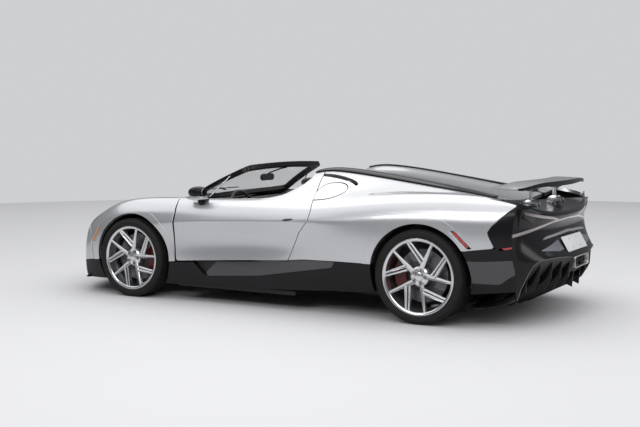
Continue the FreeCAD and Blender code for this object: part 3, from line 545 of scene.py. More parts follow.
def meshObject(name, points, faces, mat, loopNormals=None, inner=()):
    mesh = bpy.data.meshes.new(name)
    mesh.from_pydata([tuple(p) for p in points], [], faces)
    mesh.materials.append(made[mat])
    mesh.polygons.foreach_set("use_smooth", [True] * len(mesh.polygons))
    if len(inner):
        mesh.materials.append(made["cabinTrim"])
        numbers = np.zeros(len(faces), int)
        numbers[inner] = 1
        mesh.polygons.foreach_set("material_index", numbers)
    if loopNormals is not None:
        mesh.normals_split_custom_set(loopNormals)
    thing = bpy.data.objects.new(name, mesh)
    scene.collection.objects.link(thing)
    return thing


def shell(surface, fields, depth, edge=None, steps=None, shrink=None):
    # points, faces and corner normals of a panel: its face, a rounded edge, a wall and an inner skin
    edge = bodyLook["edge"] if edge is None else edge
    shrink = bodyLook["gap"] if shrink is None else shrink
    uv, faces = surface.grid(*(steps or (bodyLook["stepsAlong"], bodyLook["stepsAcross"])))
    for field in fields:
        uv, faces = clip(surface, uv, faces, field, edge + shrink)
        if not faces:
            return [], [], [], 0
    if not isinstance(faces, list):
        faces = [tuple(face) for face in faces.tolist()]
    points = surface.at(uv)
    normals = surface.normals(uv)
    wall = depth(points)[:, None] if callable(depth) else np.full((len(points), 1), depth)
    rim = openEdges(faces)
    out = np.zeros_like(points)
    for a, b in rim:
        way = np.cross(points[b] - points[a], normals[a])
        way /= max(np.linalg.norm(way), 1e-9)
        out[a] += way
        out[b] += way
    rimPoints = sorted({a for a, b in rim} | {b for a, b in rim})
    place = {a: n for n, a in enumerate(rimPoints)}
    way = out[rimPoints]
    way /= np.maximum(np.linalg.norm(way, axis=1)[:, None], 1e-9)
    base = points[rimPoints]
    up = normals[rimPoints]
    rings = [base]
    ringNormals = [up]
    for angle in (30, 60, 90):
        a = math.radians(angle)
        rings.append(base + way * edge * math.sin(a) - up * edge * (1 - math.cos(a)))
        ringNormals.append(way * math.sin(a) + up * math.cos(a))
    rings.append(base + way * edge - up * wall[rimPoints])
    ringNormals.append(way)
    count = len(points)
    allPoints = [points] + rings[1:]
    start = [None] + [count + k * len(rimPoints) for k in range(4)]

    def ringPoint(level, a):
        return a if level == 0 else start[level] + place[a]

    allFaces = [tuple(face) for face in faces]
    corners = [normals[list(face)] for face in faces]
    for a, b in rim:
        for level in range(4):
            face = (ringPoint(level, b), ringPoint(level, a), ringPoint(level + 1, a),
                    ringPoint(level + 1, b))
            allFaces.append(face)
            low = ringNormals[level]
            high = ringNormals[level + 1]
            corners.append(np.array([low[place[b]], low[place[a]], high[place[a]], high[place[b]]]))
    shown = len(allFaces)
    innerStart = count + 4 * len(rimPoints)
    allPoints.append(points - normals * wall)
    for face in faces:
        allFaces.append(tuple(start[4] + place[a] if a in place else innerStart + a for a in reversed(face)))
        corners.append(-normals[list(reversed(face))])
    return np.vstack(allPoints), allFaces, np.vstack(corners), shown


def panel(name, surface, regions, depth, mat, body, nodes=(), **options):
    # one object from several regions of a surface
    points = []
    faces = []
    corners = []
    inner = []
    count = 0
    for fields in regions:
        p, f, c, shown = shell(surface, fields, depth, **options)
        if len(p) == 0:
            continue
        points.append(p)
        inner += range(len(faces) + shown, len(faces) + len(f))
        faces += [tuple(a + count for a in face) for face in f]
        corners.append(c)
        count += len(p)
    points = np.vstack(points)
    used = sorted({a for face in faces for a in face})
    renumber = {a: n for n, a in enumerate(used)}
    faces = [tuple(renumber[a] for a in face) for face in faces]
    thing = meshObject(name, points[used], faces, mat, np.vstack(corners), inner)
    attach(thing, body)
    if nodes:
        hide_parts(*nodes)
    print("panel", name, len(faces))
    return thing


def movedIn(net, depth):
    # a net of poles moved inwards along its own normals
    poles = np.array(net, float)
    along = np.gradient(poles, axis=0)
    across = np.gradient(poles, axis=1)
    normal = np.cross(along, across)
    normal /= np.maximum(np.linalg.norm(normal, axis=2)[:, :, None], 1e-9)
    return Surface(poles - normal * depth)


# The body

# Half sections of the body from its top centre to its sill, as (y, z) pairs in millimetres,
# each with the x of its side and how far its centre bows forwards (or back, if negative).
bodySections = [
    (-560, 300, [(0, 600), (230, 602), (430, 606), (530, 610), (680, 612), (790, 600), (860, 556),
                 (900, 490), (915, 400), (915, 320), (912, 250), (905, 190), (890, 130)]),
    (-430, 250, [(0, 664), (230, 666), (430, 670), (530, 676), (680, 690), (800, 700), (890, 668),
                 (945, 600), (975, 510), (978, 420), (970, 330), (955, 240), (930, 132)]),
    (-230, 140, [(0, 736), (230, 738), (430, 744), (530, 754), (680, 784), (805, 816), (895, 792),
                 (955, 722), (990, 630), (992, 520), (987, 400), (972, 270), (940, 135)]),
    (-20, 50, [(0, 792), (230, 793), (430, 798), (530, 806), (680, 832), (805, 854), (900, 828),
               (965, 755), (1002, 655), (1004, 540), (997, 410), (980, 275), (945, 135)]),
    (200, 0, [(0, 826), (230, 826), (430, 829), (530, 834), (680, 850), (805, 862), (900, 834),
              (965, 754), (997, 650), (992, 535), (985, 410), (972, 275), (945, 135)]),
    (420, 0, [(0, 850), (230, 849), (430, 850), (530, 853), (680, 858), (805, 866), (890, 836),
              (950, 762), (982, 668), (966, 555), (958, 430), (968, 300), (945, 138)]),
    (750, 0, [(0, 868), (230, 868), (430, 868), (530, 868), (680, 868), (810, 868), (882, 838),
              (937, 768), (974, 688), (944, 575), (932, 450), (962, 330), (945, 145)]),
    (1150, 0, [(0, 905), (230, 905), (430, 905), (530, 905), (690, 895), (812, 875), (886, 846),
               (942, 780), (978, 702), (940, 590), (926, 470), (962, 352), (945, 155)]),
    (1450, 0, [(0, 985), (230, 1000), (430, 1070), (540, 1040), (675, 975), (792, 900), (885, 862),
               (948, 798), (988, 714), (952, 604), (938, 488), (962, 378), (945, 165)]),
    (1600, 0, [(0, 1030), (230, 1045), (430, 1125), (540, 1095), (665, 1035), (780, 938), (880, 874),
               (954, 808), (996, 722), (968, 612), (952, 500), (962, 392), (945, 172)]),
    (1760, 0, [(0, 1055), (230, 1068), (430, 1142), (540, 1108), (660, 1048), (770, 952), (872, 888),
               (956, 820), (1002, 730), (985, 622), (972, 512), (966, 405), (945, 180)]),
    (2050, 0, [(0, 1055), (230, 1064), (430, 1112), (540, 1078), (665, 1008), (785, 938), (884, 912),
               (962, 842), (1008, 742), (1010, 632), (1002, 520), (990, 420), (945, 200)]),
    (2400, 0, [(0, 1015), (230, 1022), (430, 1058), (540, 1030), (670, 972), (785, 952), (884, 956),
               (968, 880), (1013, 775), (1021, 652), (1020, 540), (1006, 430), (950, 215)]),
    (2700, 0, [(0, 970), (230, 976), (430, 1008), (540, 988), (670, 950), (785, 960), (882, 976),
               (972, 895), (1015, 788), (1021, 660), (1020, 540), (1006, 420), (950, 230)]),
    (3000, 0, [(0, 922), (230, 926), (430, 955), (540, 948), (670, 940), (785, 960), (878, 976),
               (962, 890), (1002, 780), (1006, 660), (1000, 540), (985, 430), (940, 240)]),
    (3220, -50, [(0, 872), (230, 876), (430, 892), (540, 902), (670, 922), (785, 946), (866, 960),
                 (948, 882), (986, 775), (990, 660), (982, 550), (966, 440), (916, 258)]),
    (3385, -155, [(0, 815), (230, 819), (430, 832), (540, 845), (670, 872), (770, 900), (838, 912),
                  (878, 850), (902, 760), (905, 660), (898, 560), (880, 450), (850, 280)]),
]
noseRows = [
    [(-925, 0, 130), (-920, 160, 130), (-900, 320, 130), (-872, 430, 130), (-835, 530, 130),
     (-790, 620, 130), (-740, 700, 130), (-690, 765, 130), (-650, 810, 130), (-622, 842, 130),
     (-603, 864, 130), (-592, 878, 130), (-584, 888, 130)],
    [(-953, 0, 300), (-946, 180, 300), (-920, 350, 300), (-880, 470, 298), (-835, 580, 292),
     (-778, 680, 282), (-722, 760, 262), (-672, 820, 238), (-638, 858, 212), (-614, 880, 188),
     (-600, 892, 168), (-590, 896, 150), (-582, 892, 131)],
    [(-915, 0, 480), (-906, 210, 482), (-872, 400, 482), (-836, 510, 480), (-780, 650, 472),
     (-716, 755, 450), (-662, 830, 408), (-626, 876, 355), (-606, 898, 300), (-596, 906, 254),
     (-588, 906, 214), (-582, 902, 170), (-578, 892, 131)],
]
bowHalfWidth = 950.0

# Panel lines in millimetres, as (x, z) from the side or (x, y) from above.
doorFrontLine = [(395, 1000), (407, 862), (439, 812), (452, 749), (453, 700), (452, 655), (451, 610),
                 (450, 519), (454, 412), (459, 334)]
wingEdgeLine = [(434, 812), (446, 749), (444, 700), (443, 655), (443, 610), (445, 519), (448, 412),
                (451, 334)]
doorBottomLine = [(459, 334), (636, 346), (1100, 376), (1562, 404)]
doorRearRadii = [(1067, 1268), (1024, 1262), (960, 1266), (897, 1276), (804, 1305), (730, 1298), (634, 1212),
                 (503, 1142), (404, 1094), (330, 1060)]
doorHinge = (470, 944)
doorSwing = {"radius": 0.170, "outer": 0.800, "foot": 0.775}
sillGap = 9.0
silverBottomLine = [(-700, 268), (-383, 300), (392, 326), (636, 346), (1100, 376), (1562, 404), (1704, 418),
                    (2000, 424), (2320, 424), (2500, 424), (3000, 560), (3097, 566), (3290, 590)]
fasciaLine = [(3290, 590), (3275, 619), (3248, 676), (3238, 707), (3262, 747), (3315, 801), (3370, 853),
              (3430, 905), (3460, 935)]
noseLine = [(-470, 200), (-470, 420), (-520, 540), (-600, 585), (-760, 640), (-1000, 660)]
openingPlan = [(170, 0), (235, 400), (300, 560), (400, 700), (470, 775), (560, 792), (900, 800), (1290, 800),
               (1405, 772), (1480, 725), (1556, 675), (1589, 615), (1572, 540), (1572, 0)]
bonnetPlan = [(-820, 0), (-802, 330), (-745, 520), (-630, 600), (-320, 650), (158, 650), (158, 0)]
headlampPlan = [(-330, 790), (-420, 850), (-560, 862), (-690, 780), (-752, 660), (-700, 640), (-560, 730),
                (-430, 775)]
frontMarkerLine = [(-392, 600), (-374, 600), (-440, 462), (-462, 462)]
rearMarkerLine = [(2972, 706), (2996, 706), (3120, 586), (3098, 582)]
flapLine = [(1752, 1000), (1850, 1020), (1930, 1012), (1978, 986), (1985, 962), (1962, 934), (1900, 906),
            (1812, 892), (1700, 884)]
slotLine = [(1668, 1078), (1760, 1078), (1850, 1066), (1945, 1046), (2010, 1026), (2042, 1006), (2036, 1000),
            (1990, 1022), (1900, 1044), (1800, 1060), (1700, 1068), (1668, 1068)]
bladeLine = [(883, 366), (1100, 390), (1562, 430), (2010, 440), (1973, 372), (1482, 293), (1286, 261),
             (798, 227), (736, 238)]
wedgeLine = [(616, 352), (892, 372), (736, 238)]
reflectorLine = [(3316, 574), (3420, 594), (3420, 610), (3316, 592)]
recess = {"front": 3182, "halfWidth": 838}
bandLines = {"inner": 452, "outer": 530}
creaseLook = {"pole": 8, "places": (200, 420, 1600, 2050), "shares": (0.5, 0.16, 0.16, 0.5)}
archWays = {"frontRadius": 0.387, "rearRadius": 0.400, "frontInner": 0.545, "rearInner": 0.615, "drop": 0.006,
            "frontLip": 0.058, "rearLip": 0.074, "lipRise": 0.0022, "lipEdge": 0.0024}


def creased(poles, share):
    # one more pole on each side of the widest one
    widest = np.array(poles[creaseLook["pole"]], float)
    before = np.array(poles[creaseLook["pole"] - 1], float)
    after = np.array(poles[creaseLook["pole"] + 1], float)
    return (list(poles[:creaseLook["pole"]]) + [tuple(widest + (before - widest) * share), tuple(widest),
                                                tuple(widest + (after - widest) * share)]
            + list(poles[creaseLook["pole"] + 1:]))


def wholeRow(half):
    # a row of drawn (x, y, z) from the car's middle to its right side, with its mirror image before it
    left = [(carX(x), -y / 1000, z / 1000) for x, y, z in reversed(half)]
    return left + [(carX(x), y / 1000, z / 1000) for x, y, z in half[1:]]


def bodyNet():
    rows = [creased(list(row), 0.5) for row in noseRows]
    for x, bow, poles in bodySections:
        share = float(np.interp(x, creaseLook["places"], creaseLook["shares"]))
        rows.append([(x - bow * (1 - min(1.0, (y / bowHalfWidth) ** 2)), y, z)
                     for y, z in creased(poles, share)])
    return [wholeRow(row) for row in rows]


bodySurface = Surface(bodyNet())
frontTyreRadius = (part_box("tyre_front_left")[1].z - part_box("tyre_front_left")[0].z) / 2
rearTyreRadius = (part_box("tyre_rear_left")[1].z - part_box("tyre_rear_left")[0].z) / 2


def archField(axleX, tyreRadius, radius, inner):
    # less than 0 inside the wheel's well
    def field(place):
        side = np.hypot(place[:, 0] - axleX, place[:, 2] - tyreRadius + archWays["drop"]) - radius
        return np.maximum(side, inner - np.abs(place[:, 1]))
    return field


def hingeReach(place):
    return np.hypot(place[:, 0] - carX(doorHinge[0]), np.abs(place[:, 1]) - doorHinge[1] / 1000)


def doorRear(place):
    # less than 0 on the door's side of its rear edge, which is turned about the hinge
    heights = np.array([z for z, r in reversed(doorRearRadii)]) / 1000
    radii = np.array([r for z, r in reversed(doorRearRadii)]) / 1000
    return (hingeReach(place) - np.interp(place[:, 2], heights, radii)) * 0.999


def grownBox(points, grow):
    # the room round a lamp drawn from the side
    field = sideArea(points)
    return lambda place: field(place) - grow


frontArch = archField(frontAxleX, frontTyreRadius, archWays["frontRadius"], archWays["frontInner"])
rearArch = archField(rearAxleX, rearTyreRadius, archWays["rearRadius"], archWays["rearInner"])
opening = planArea(openingPlan)
recessArea = both(more(0, carX(recess["front"])), within(recess["halfWidth"] / 1000), more(2, 0.6))
lampPlan = outlineField([(carX(x), y / 1000) for x, y in smoothRing(headlampPlan)], 0, 1)
lampArea = both(lambda place: lampPlan(np.stack([place[:, 0], np.abs(place[:, 1]), place[:, 2]], 1)),
                more(2, 0.4))
frontMarkerArea = both(sideArea(frontMarkerLine), beyond(0.905))
rearMarkerArea = both(sideArea(rearMarkerLine), beyond(0.962))
flapArea = both(sideArea(smoothRing(flapLine)), less(1, -0.55))
slotArea = both(sideArea(smoothRing(slotLine)), beyond(0.54))
bladeArea = sideArea(bladeLine)
wedgeArea = sideArea(wedgeLine)
reflectorArea = both(sideArea(reflectorLine), beyond(0.80))
paintedArea = sideArea([(-1200, 1600), (-1200, 268)] + silverBottomLine + fasciaLine[1:]
                       + [(3475, 1000), (3475, 1600)])
bonnetArea = both(planArea(bonnetPlan), more(2, 0.42))
noseArea = sideArea([(-1200, 200)] + noseLine + [(-1200, 660)])
doorArea = both(sideArea(doorFrontLine + doorBottomLine[1:] + [(2000, 430), (2000, 1400), (395, 1400)]),
                beyond(0.5), doorRear)
pillarFoot = both(more(0, carX(300)), less(0, carX(475)), within(0.800), more(2, 0.775))
doorArea = both(doorArea, outside(pillarFoot))
underDoor = [(x, z - sillGap) for x, z in doorBottomLine]
underDoor += [(1580, doorBottomLine[-1][1] - sillGap), (1580, 500), (462, 500)]
doorRoom = sideArea(underDoor)


def hingeRoom(place):
    # less than 0 where the door's front corner swings
    return np.max([hingeReach(place) - doorSwing["radius"], np.abs(place[:, 1]) - doorSwing["outer"],
                   doorSwing["foot"] - place[:, 2]], axis=0)


def wingWall(place):
    # a front wing's wall, which is thin where the door's front edge turns in behind it
    near = np.clip((place[:, 0] - carX(372)) / 0.030, 0, 1) * (np.abs(place[:, 1]) > 0.86)
    return bodyLook["skin"] + (bodyLook["wingEdge"] - bodyLook["skin"]) * near


wingEdgeRoom = both(sideArea(wingEdgeLine + [(700, 334), (700, 812)]), beyond(0.85))
lampsOut = [outside(either(lampArea, frontMarkerArea))]
intakeArea = both(either(both(within(0.400), more(2, 0.178), less(2, 0.330), less(0, carX(-840))),
                         both(beyond(0.500), within(0.760), more(2, 0.200), less(2, 0.330),
                              less(0, carX(-600)))))

panel("frontWings", bodySurface,
      [[paintedArea, less(0, carX(1000)), outside(either(opening, frontArch)), outside(bonnetArea),
        outside(noseArea), outside(doorArea), outside(hingeRoom), outside(wingEdgeRoom)] + lampsOut],
      wingWall, "silverPaint", "root", ["front_wings"])
lipNet = movedIn(bodyNet(), -archWays["lipRise"])
for name, axleX, radius, grow, inner in (("frontArchLips", frontAxleX, "frontRadius", "frontLip",
                                          "frontInner"),
                                         ("rearArchLips", rearAxleX, "rearRadius", "rearLip", "rearInner")):
    tyreRadius = frontTyreRadius if name == "frontArchLips" else rearTyreRadius
    well = archField(axleX, tyreRadius, archWays[radius], archWays[inner])
    lip = archField(axleX, tyreRadius, archWays[radius] + archWays[grow], 0.70)
    panel(name, lipNet, [[lip, outside(well), paintedArea, outside(either(doorArea, noseArea, lampArea)),
                          outside(either(grownBox(frontMarkerLine, 0.012),
                                         grownBox(rearMarkerLine, 0.012)))]],
          0.007, "silverPaint", "root", edge=archWays["lipEdge"], shrink=0.0008)
panel("bonnet", bodySurface, [[bonnetArea, paintedArea]], bodyLook["skin"], "silverPaint", "bonnet",
      ["bonnet"])
panel("frontBumper", bodySurface,
      [[noseArea, paintedArea, outside(bonnetArea), outside(frontArch), outside(intakeArea)] + lampsOut],
      bodyLook["skin"], "silverPaint", "root", ["front_bumper"])
for side, sign in sides:
    panel("door" + side.title(), bodySurface,
          [[doorArea, paintedArea, outside(opening), onSide(sign)]],
          bodyLook["doorSkin"], "silverPaint", "door_" + side, ["door_" + side])
handleArea = sideArea(smoothRing([(1528, 722), (1544, 739), (1626, 746), (1640, 736), (1566, 718)]))
for side, sign in sides:
    panel("doorHandle" + side.title(), movedIn(bodyNet(), -0.0025),
          [[handleArea, beyond(0.8), onSide(sign)]], 0.006, "darkPaint",
          "door_" + side, edge=0.002, shrink=0.0)
tailShell = [paintedArea, more(0, carX(1000)), outside(either(opening, rearArch)), outside(recessArea),
             outside(doorArea), outside(rearMarkerArea)]
panel("engineCover", bodySurface, [tailShell + [within(bandLines["inner"] / 1000)]], bodyLook["skin"],
      "silverPaint", "root", ["engine_cover"])
panel("buttressBands", bodySurface,
      [tailShell + [beyond(bandLines["inner"] / 1000), within(bandLines["outer"] / 1000)]],
      bodyLook["skin"], "glossBlack", "root", ["buttress_bands"], shrink=0.0008)
quarterShell = tailShell + [beyond(bandLines["outer"] / 1000)]
panel("rearQuarters", bodySurface, [quarterShell + [outside(flapArea), outside(slotArea)]], bodyLook["skin"],
      "silverPaint", "root", ["rear_quarters"])
panel("fillerFlap", bodySurface, [quarterShell + [flapArea]], 0.004, "silverPaint", "root", edge=0.0012,
      shrink=0.001)
panel("slotFloor", movedIn(bodyNet(), 0.024), [[slotArea]], 0.003, "glossBlack", "root", edge=0.001,
      shrink=-0.004)
railNet = movedIn(bodyNet(), -0.012)
railShell = [more(0, carX(1000)), outside(opening), less(0, carX(3120))]
panel("bandRails", railNet, [railShell + [beyond(0.425), within(0.536), more(2, 0.7)]], 0.016, "glossBlack",
      "root", edge=0.007, shrink=0.001)
lowerShell = [outside(paintedArea), outside(either(rearArch, frontArch)), outside(recessArea)]
sillShell = lowerShell + [more(0, carX(330)), less(0, carX(2400)), less(2, 0.9)]
panel("sillBlades", bodySurface, [sillShell + [outside(doorRoom), outside(either(bladeArea, wedgeArea))]],
      bodyLook["doorSkin"], "glossBlack", "root", ["sills"], shrink=0.0)
panel("sillCarbon", bodySurface, [sillShell + [bladeArea, outside(doorRoom)]], 0.020, "darkPaint", "root",
      shrink=0.0006)
panel("sillIntakes", movedIn(bodyNet(), 0.050), [[wedgeArea, less(2, 0.37)]], 0.003, "cabinTrim", "root",
      edge=0.001, shrink=-0.006)
print("body panels ready")


# Small makers

def turns(count):
    # evenly spaced angles round a circle
    return [2 * math.pi * k / count for k in range(count)]


def blunted(value, power):
    # a sine or cosine that makes a ring squarer, as the power falls below 1
    return math.copysign(abs(value) ** power, value)


def drawn(x, y, z):
    # a drawn place in millimetres as a vector in the frame
    return Vector((carX(x), y / 1000, z / 1000))


def finishPiece(thing, body, nodes=()):
    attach(thing, body)
    if nodes:
        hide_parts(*nodes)


def sharpen(thing, degrees=32):
    # smooth faces with their sharp edges kept
    bm = bmesh.new()
    bm.from_mesh(thing.data)
    bmesh.ops.remove_doubles(bm, verts=bm.verts, dist=1e-6)
    bmesh.ops.recalc_face_normals(bm, faces=bm.faces)
    limit = math.radians(degrees)
    for edge in bm.edges:
        edge.smooth = len(edge.link_faces) != 2 or edge.calc_face_angle(0) < limit
    for face in bm.faces:
        face.smooth = True
    bm.to_mesh(thing.data)
    bm.free()
    return thing


class Mesher:
    # points and faces of one piece, gathered from rings, lofts and turned outlines

    def __init__(self):
        self.points = []
        self.faces = []

    def add(self, points, faces):
        start = len(self.points)
        self.points += [tuple(p) for p in points]
        self.faces += [tuple(a + start for a in face) for face in faces]

    def loft(self, rings, closed=False, caps=True):
        # a skin through rings of the same count
        count = len(rings[0])
        rows = len(rings)
        faces = []
        for i in range(rows if closed else rows - 1):
            for j in range(count):
                a = i * count + j
                b = i * count + (j + 1) % count
                c = (i + 1) % rows * count + (j + 1) % count
                d = (i + 1) % rows * count + j
                faces.append((a, b, c, d))
        if caps and not closed:
            faces.append(tuple(reversed(range(count))))
            faces.append(tuple((rows - 1) * count + j for j in range(count)))
        self.add([p for ring in rings for p in ring], faces)

    def spin(self, profile, centre, segments=96):
        # a closed outline of (radius, y) turned about an axle
        rings = []
        for a in turns(segments):
            rings.append([(centre[0] + r * math.cos(a), centre[1] + y, centre[2] + r * math.sin(a))
                          for r, y in profile])
        self.loft(rings, closed=True)

    def thing(self, name, mat, degrees=32):
        return sharpen(meshObject(name, self.points, self.faces, mat), degrees)


def startGroup(name, sockets):
    # a new Geometry Nodes group, its tree and the values that its inputs give
    group = bpy.data.node_groups.new(name, "GeometryNodeTree")
    for label, kind in sockets.items():
        group.interface.new_socket(label, in_out="INPUT", socket_type="NodeSocket" + kind)
    group.interface.new_socket("Geometry", in_out="OUTPUT", socket_type="NodeSocketGeometry")
    tree = Tree(group)
    inputs = group.nodes.new("NodeGroupInput")
    return group, tree, {socket.name: Val(tree, socket) for socket in inputs.outputs}


def endGroup(group, tree, geometry, look):
    done = tree.add("GeometryNodeSetMaterial", None, {"Geometry": geometry, "Material": look})
    out = group.nodes.new("NodeGroupOutput")
    group.links.new(done.socket, out.inputs["Geometry"])
    return group


def evaluated(host, mat):
    # a host's modifiers run, and their result kept as its plain mesh
    graph = bpy.context.evaluated_depsgraph_get()
    mesh = bpy.data.meshes.new_from_object(host.evaluated_get(graph))
    host.modifiers.clear()
    host.data = mesh
    mesh.name = host.name
    mesh.materials.clear()
    mesh.materials.append(made[mat])
    return host


def lofted(name, rings, mat, degrees=32, closed=False):
    # one object with a skin through its rings
    mesher = Mesher()
    mesher.loft(rings, closed)
    return mesher.thing(name, mat, degrees)


def repeatTree():
    # copies of a source, each turned about Y from the last
    group, t, given = startGroup("repeatPiece", {"Source": "Object", "Count": "Int", "Turn": "Float",
                                                 "Centre": "Vector", "Finish": "Material"})
    points = t.add("GeometryNodePoints", None, {"Count": given["Count"]})
    source = t.add("GeometryNodeObjectInfo", {"transform_space": "ORIGINAL"}, {"Object": given["Source"]},
                   out="Geometry")
    index = t.add("GeometryNodeInputIndex")
    turn = t.add("ShaderNodeCombineXYZ", None, {"Y": index * given["Turn"]})
    placed = t.add("GeometryNodeInstanceOnPoints", None,
                   {"Points": points, "Instance": source, "Rotation": turn})
    moved = t.add("GeometryNodeTranslateInstances", None,
                  {"Instances": placed, "Translation": given["Centre"]})
    for socket in moved.socket.node.inputs:
        if socket.name == "Local Space":
            socket.default_value = False
    real = t.add("GeometryNodeRealizeInstances", None, {"Geometry": moved})
    return endGroup(group, t, real, given["Finish"])


repeater = repeatTree()


def repeat(name, source, count, mat, turn, centre):
    # runs the repeat tree on a source and returns the result as a plain mesh
    host = bpy.data.objects.new(name, bpy.data.meshes.new(name))
    scene.collection.objects.link(host)
    modifier = host.modifiers.new("repeat", "NODES")
    modifier.node_group = repeater
    values = {"Source": source, "Count": count, "Turn": turn, "Centre": centre, "Finish": made[mat]}
    for item in repeater.interface.items_tree:
        if item.in_out == "INPUT":
            modifier[item.identifier] = values[item.name]
    evaluated(host, mat)
    bpy.data.objects.remove(source)
    return host


# Solids with rounded edges, and strips along a path

def extruded(name, points, push, mat, bevel):
    # a flat outline pushed along a vector, with all its edges rounded
    bm = bmesh.new()
    verts = [bm.verts.new(p) for p in points]
    face = bm.faces.new(verts)
    grown = bmesh.ops.extrude_face_region(bm, geom=[face])
    moved = [v for v in grown["geom"] if isinstance(v, bmesh.types.BMVert)]
    bmesh.ops.translate(bm, verts=moved, vec=push)
    bmesh.ops.recalc_face_normals(bm, faces=bm.faces)
    bmesh.ops.bevel(bm, geom=bm.edges[:], offset=bevel, segments=2, profile=0.5, affect="EDGES",
                    clamp_overlap=True)
    mesh = bpy.data.meshes.new(name)
    bm.to_mesh(mesh)
    bm.free()
    mesh.materials.append(made[mat])
    thing = bpy.data.objects.new(name, mesh)
    scene.collection.objects.link(thing)
    return sharpen(thing)


def sidePiece(name, points, y0, y1, mat, bevel):
    # a drawn (x, z) outline pushed across the car
    return extruded(name, [drawn(x, y0, z) for x, z in points], Vector((0, (y1 - y0) / 1000, 0)), mat, bevel)


def blockPiece(name, low, high, mat, bevel):
    # a block between two drawn corners
    x0, y0, z0 = low
    x1, y1, z1 = high
    return sidePiece(name, [(x0, z0), (x1, z0), (x1, z1), (x0, z1)], y0, y1, mat, bevel)


def joined(name, things):
    # several meshes as one, each with its own finish kept
    bm = bmesh.new()
    looks = []
    for thing in things:
        start = len(bm.faces)
        bm.from_mesh(thing.data)
        bm.faces.ensure_lookup_table()
        numbers = []
        for look in thing.data.materials:
            if look not in looks:
                looks.append(look)
            numbers.append(looks.index(look))
        for face in bm.faces[start:]:
            face.material_index = numbers[face.material_index] if numbers else 0
    mesh = bpy.data.meshes.new(name)
    bm.to_mesh(mesh)
    bm.free()
    for look in looks:
        mesh.materials.append(look)
    result = bpy.data.objects.new(name, mesh)
    scene.collection.objects.link(result)
    for thing in things:
        bpy.data.objects.remove(thing)
    return result


def pathTree():
    # a strip of round section along the host's own edges
    group, t, given = startGroup("pathStrip", {"Geometry": "Geometry", "Radius": "Float", "Sides": "Int",
                                               "Finish": "Material"})
    curve = t.add("GeometryNodeMeshToCurve", None, {"Mesh": given["Geometry"]})
    ring = t.add("GeometryNodeCurvePrimitiveCircle", None,
                 {"Resolution": given["Sides"], "Radius": given["Radius"]})
    tube = t.add("GeometryNodeCurveToMesh", None, {"Curve": curve, "Profile Curve": ring, "Fill Caps": True})
    return endGroup(group, t, tube, given["Finish"])


def stitchTree():
    # small capsules, spaced evenly along the host's edges and turned along them
    group, t, given = startGroup("stitchLine", {"Geometry": "Geometry", "Spacing": "Float", "Radius": "Float",
                                                "Finish": "Material"})
    curve = t.add("GeometryNodeMeshToCurve", None, {"Mesh": given["Geometry"]})
    spots = t.add("GeometryNodeCurveToPoints", {"mode": "LENGTH"},
                  {"Curve": curve, "Length": given["Spacing"]})
    turned = Val(t, spots.socket.node.outputs["Rotation"])
    pin = t.add("GeometryNodeMeshCylinder", None,
                {"Vertices": 6, "Radius": given["Radius"], "Depth": given["Spacing"] * 0.62})
    placed = t.add("GeometryNodeInstanceOnPoints", None,
                   {"Points": spots, "Instance": pin, "Rotation": turned})
    real = t.add("GeometryNodeRealizeInstances", None, {"Geometry": placed})
    return endGroup(group, t, real, given["Finish"])


strips = pathTree()
stitches = stitchTree()


def alongPaths(name, paths, mat, tree, values):
    # runs one of the path trees on polylines and returns a plain mesh
    mesh = bpy.data.meshes.new(name)
    points = []
    edges = []
    for path in paths:
        start = len(points)
        points += [tuple(p) for p in path]
        edges += [(start + k, start + k + 1) for k in range(len(path) - 1)]
    mesh.from_pydata(points, edges, [])
    host = bpy.data.objects.new(name, mesh)
    scene.collection.objects.link(host)
    modifier = host.modifiers.new("path", "NODES")
    modifier.node_group = tree
    for item in tree.interface.items_tree:
        if item.in_out == "INPUT" and item.socket_type != "NodeSocketGeometry":
            modifier[item.identifier] = made[mat] if item.name == "Finish" else values[item.name]
    return evaluated(host, mat)


def strip(name, paths, radius, mat, sides=8):
    return sharpen(alongPaths(name, paths, mat, strips, {"Radius": radius, "Sides": sides}), 60)


def stitch(name, paths, mat, spacing=0.006, radius=0.0006):
    return sharpen(alongPaths(name, paths, mat, stitches, {"Spacing": spacing, "Radius": radius}), 50)


# Wheels

wheelLook = {
    "forkShare": 0.47,       # where a spoke's branch leaves it, as a share of the rim's radius
    "branchTurn": 39.0,      # degrees from a spoke's end to its branch's end
    "frontPhase": 4.4,
    "rearPhase": 66.0,
    "face": 0.013,           # how far the spokes' faces lie inside the tyre's outer side
    "dish": 0.020,           # how much deeper the hub lies than the spokes' ends
    "treadPitches": 68,
    "treadDepth": 0.0065,
    "discHoles": 28,
}


def ribRing(centre, across, inward, halfWidth, depth, chamfer):
    # a spoke's section: flat face, chamfered edges and sides that widen inwards
    spots = [(-halfWidth * 0.72, depth), (-halfWidth, depth * 0.75), (-halfWidth, chamfer),
             (-halfWidth + chamfer, 0.0), (-halfWidth * 0.25, chamfer * 0.5),
             (halfWidth * 0.25, chamfer * 0.5), (halfWidth - chamfer, 0.0), (halfWidth, chamfer),
             (halfWidth, depth * 0.75), (halfWidth * 0.72, depth)]
    return [centre + across * a + inward * b for a, b in spots]


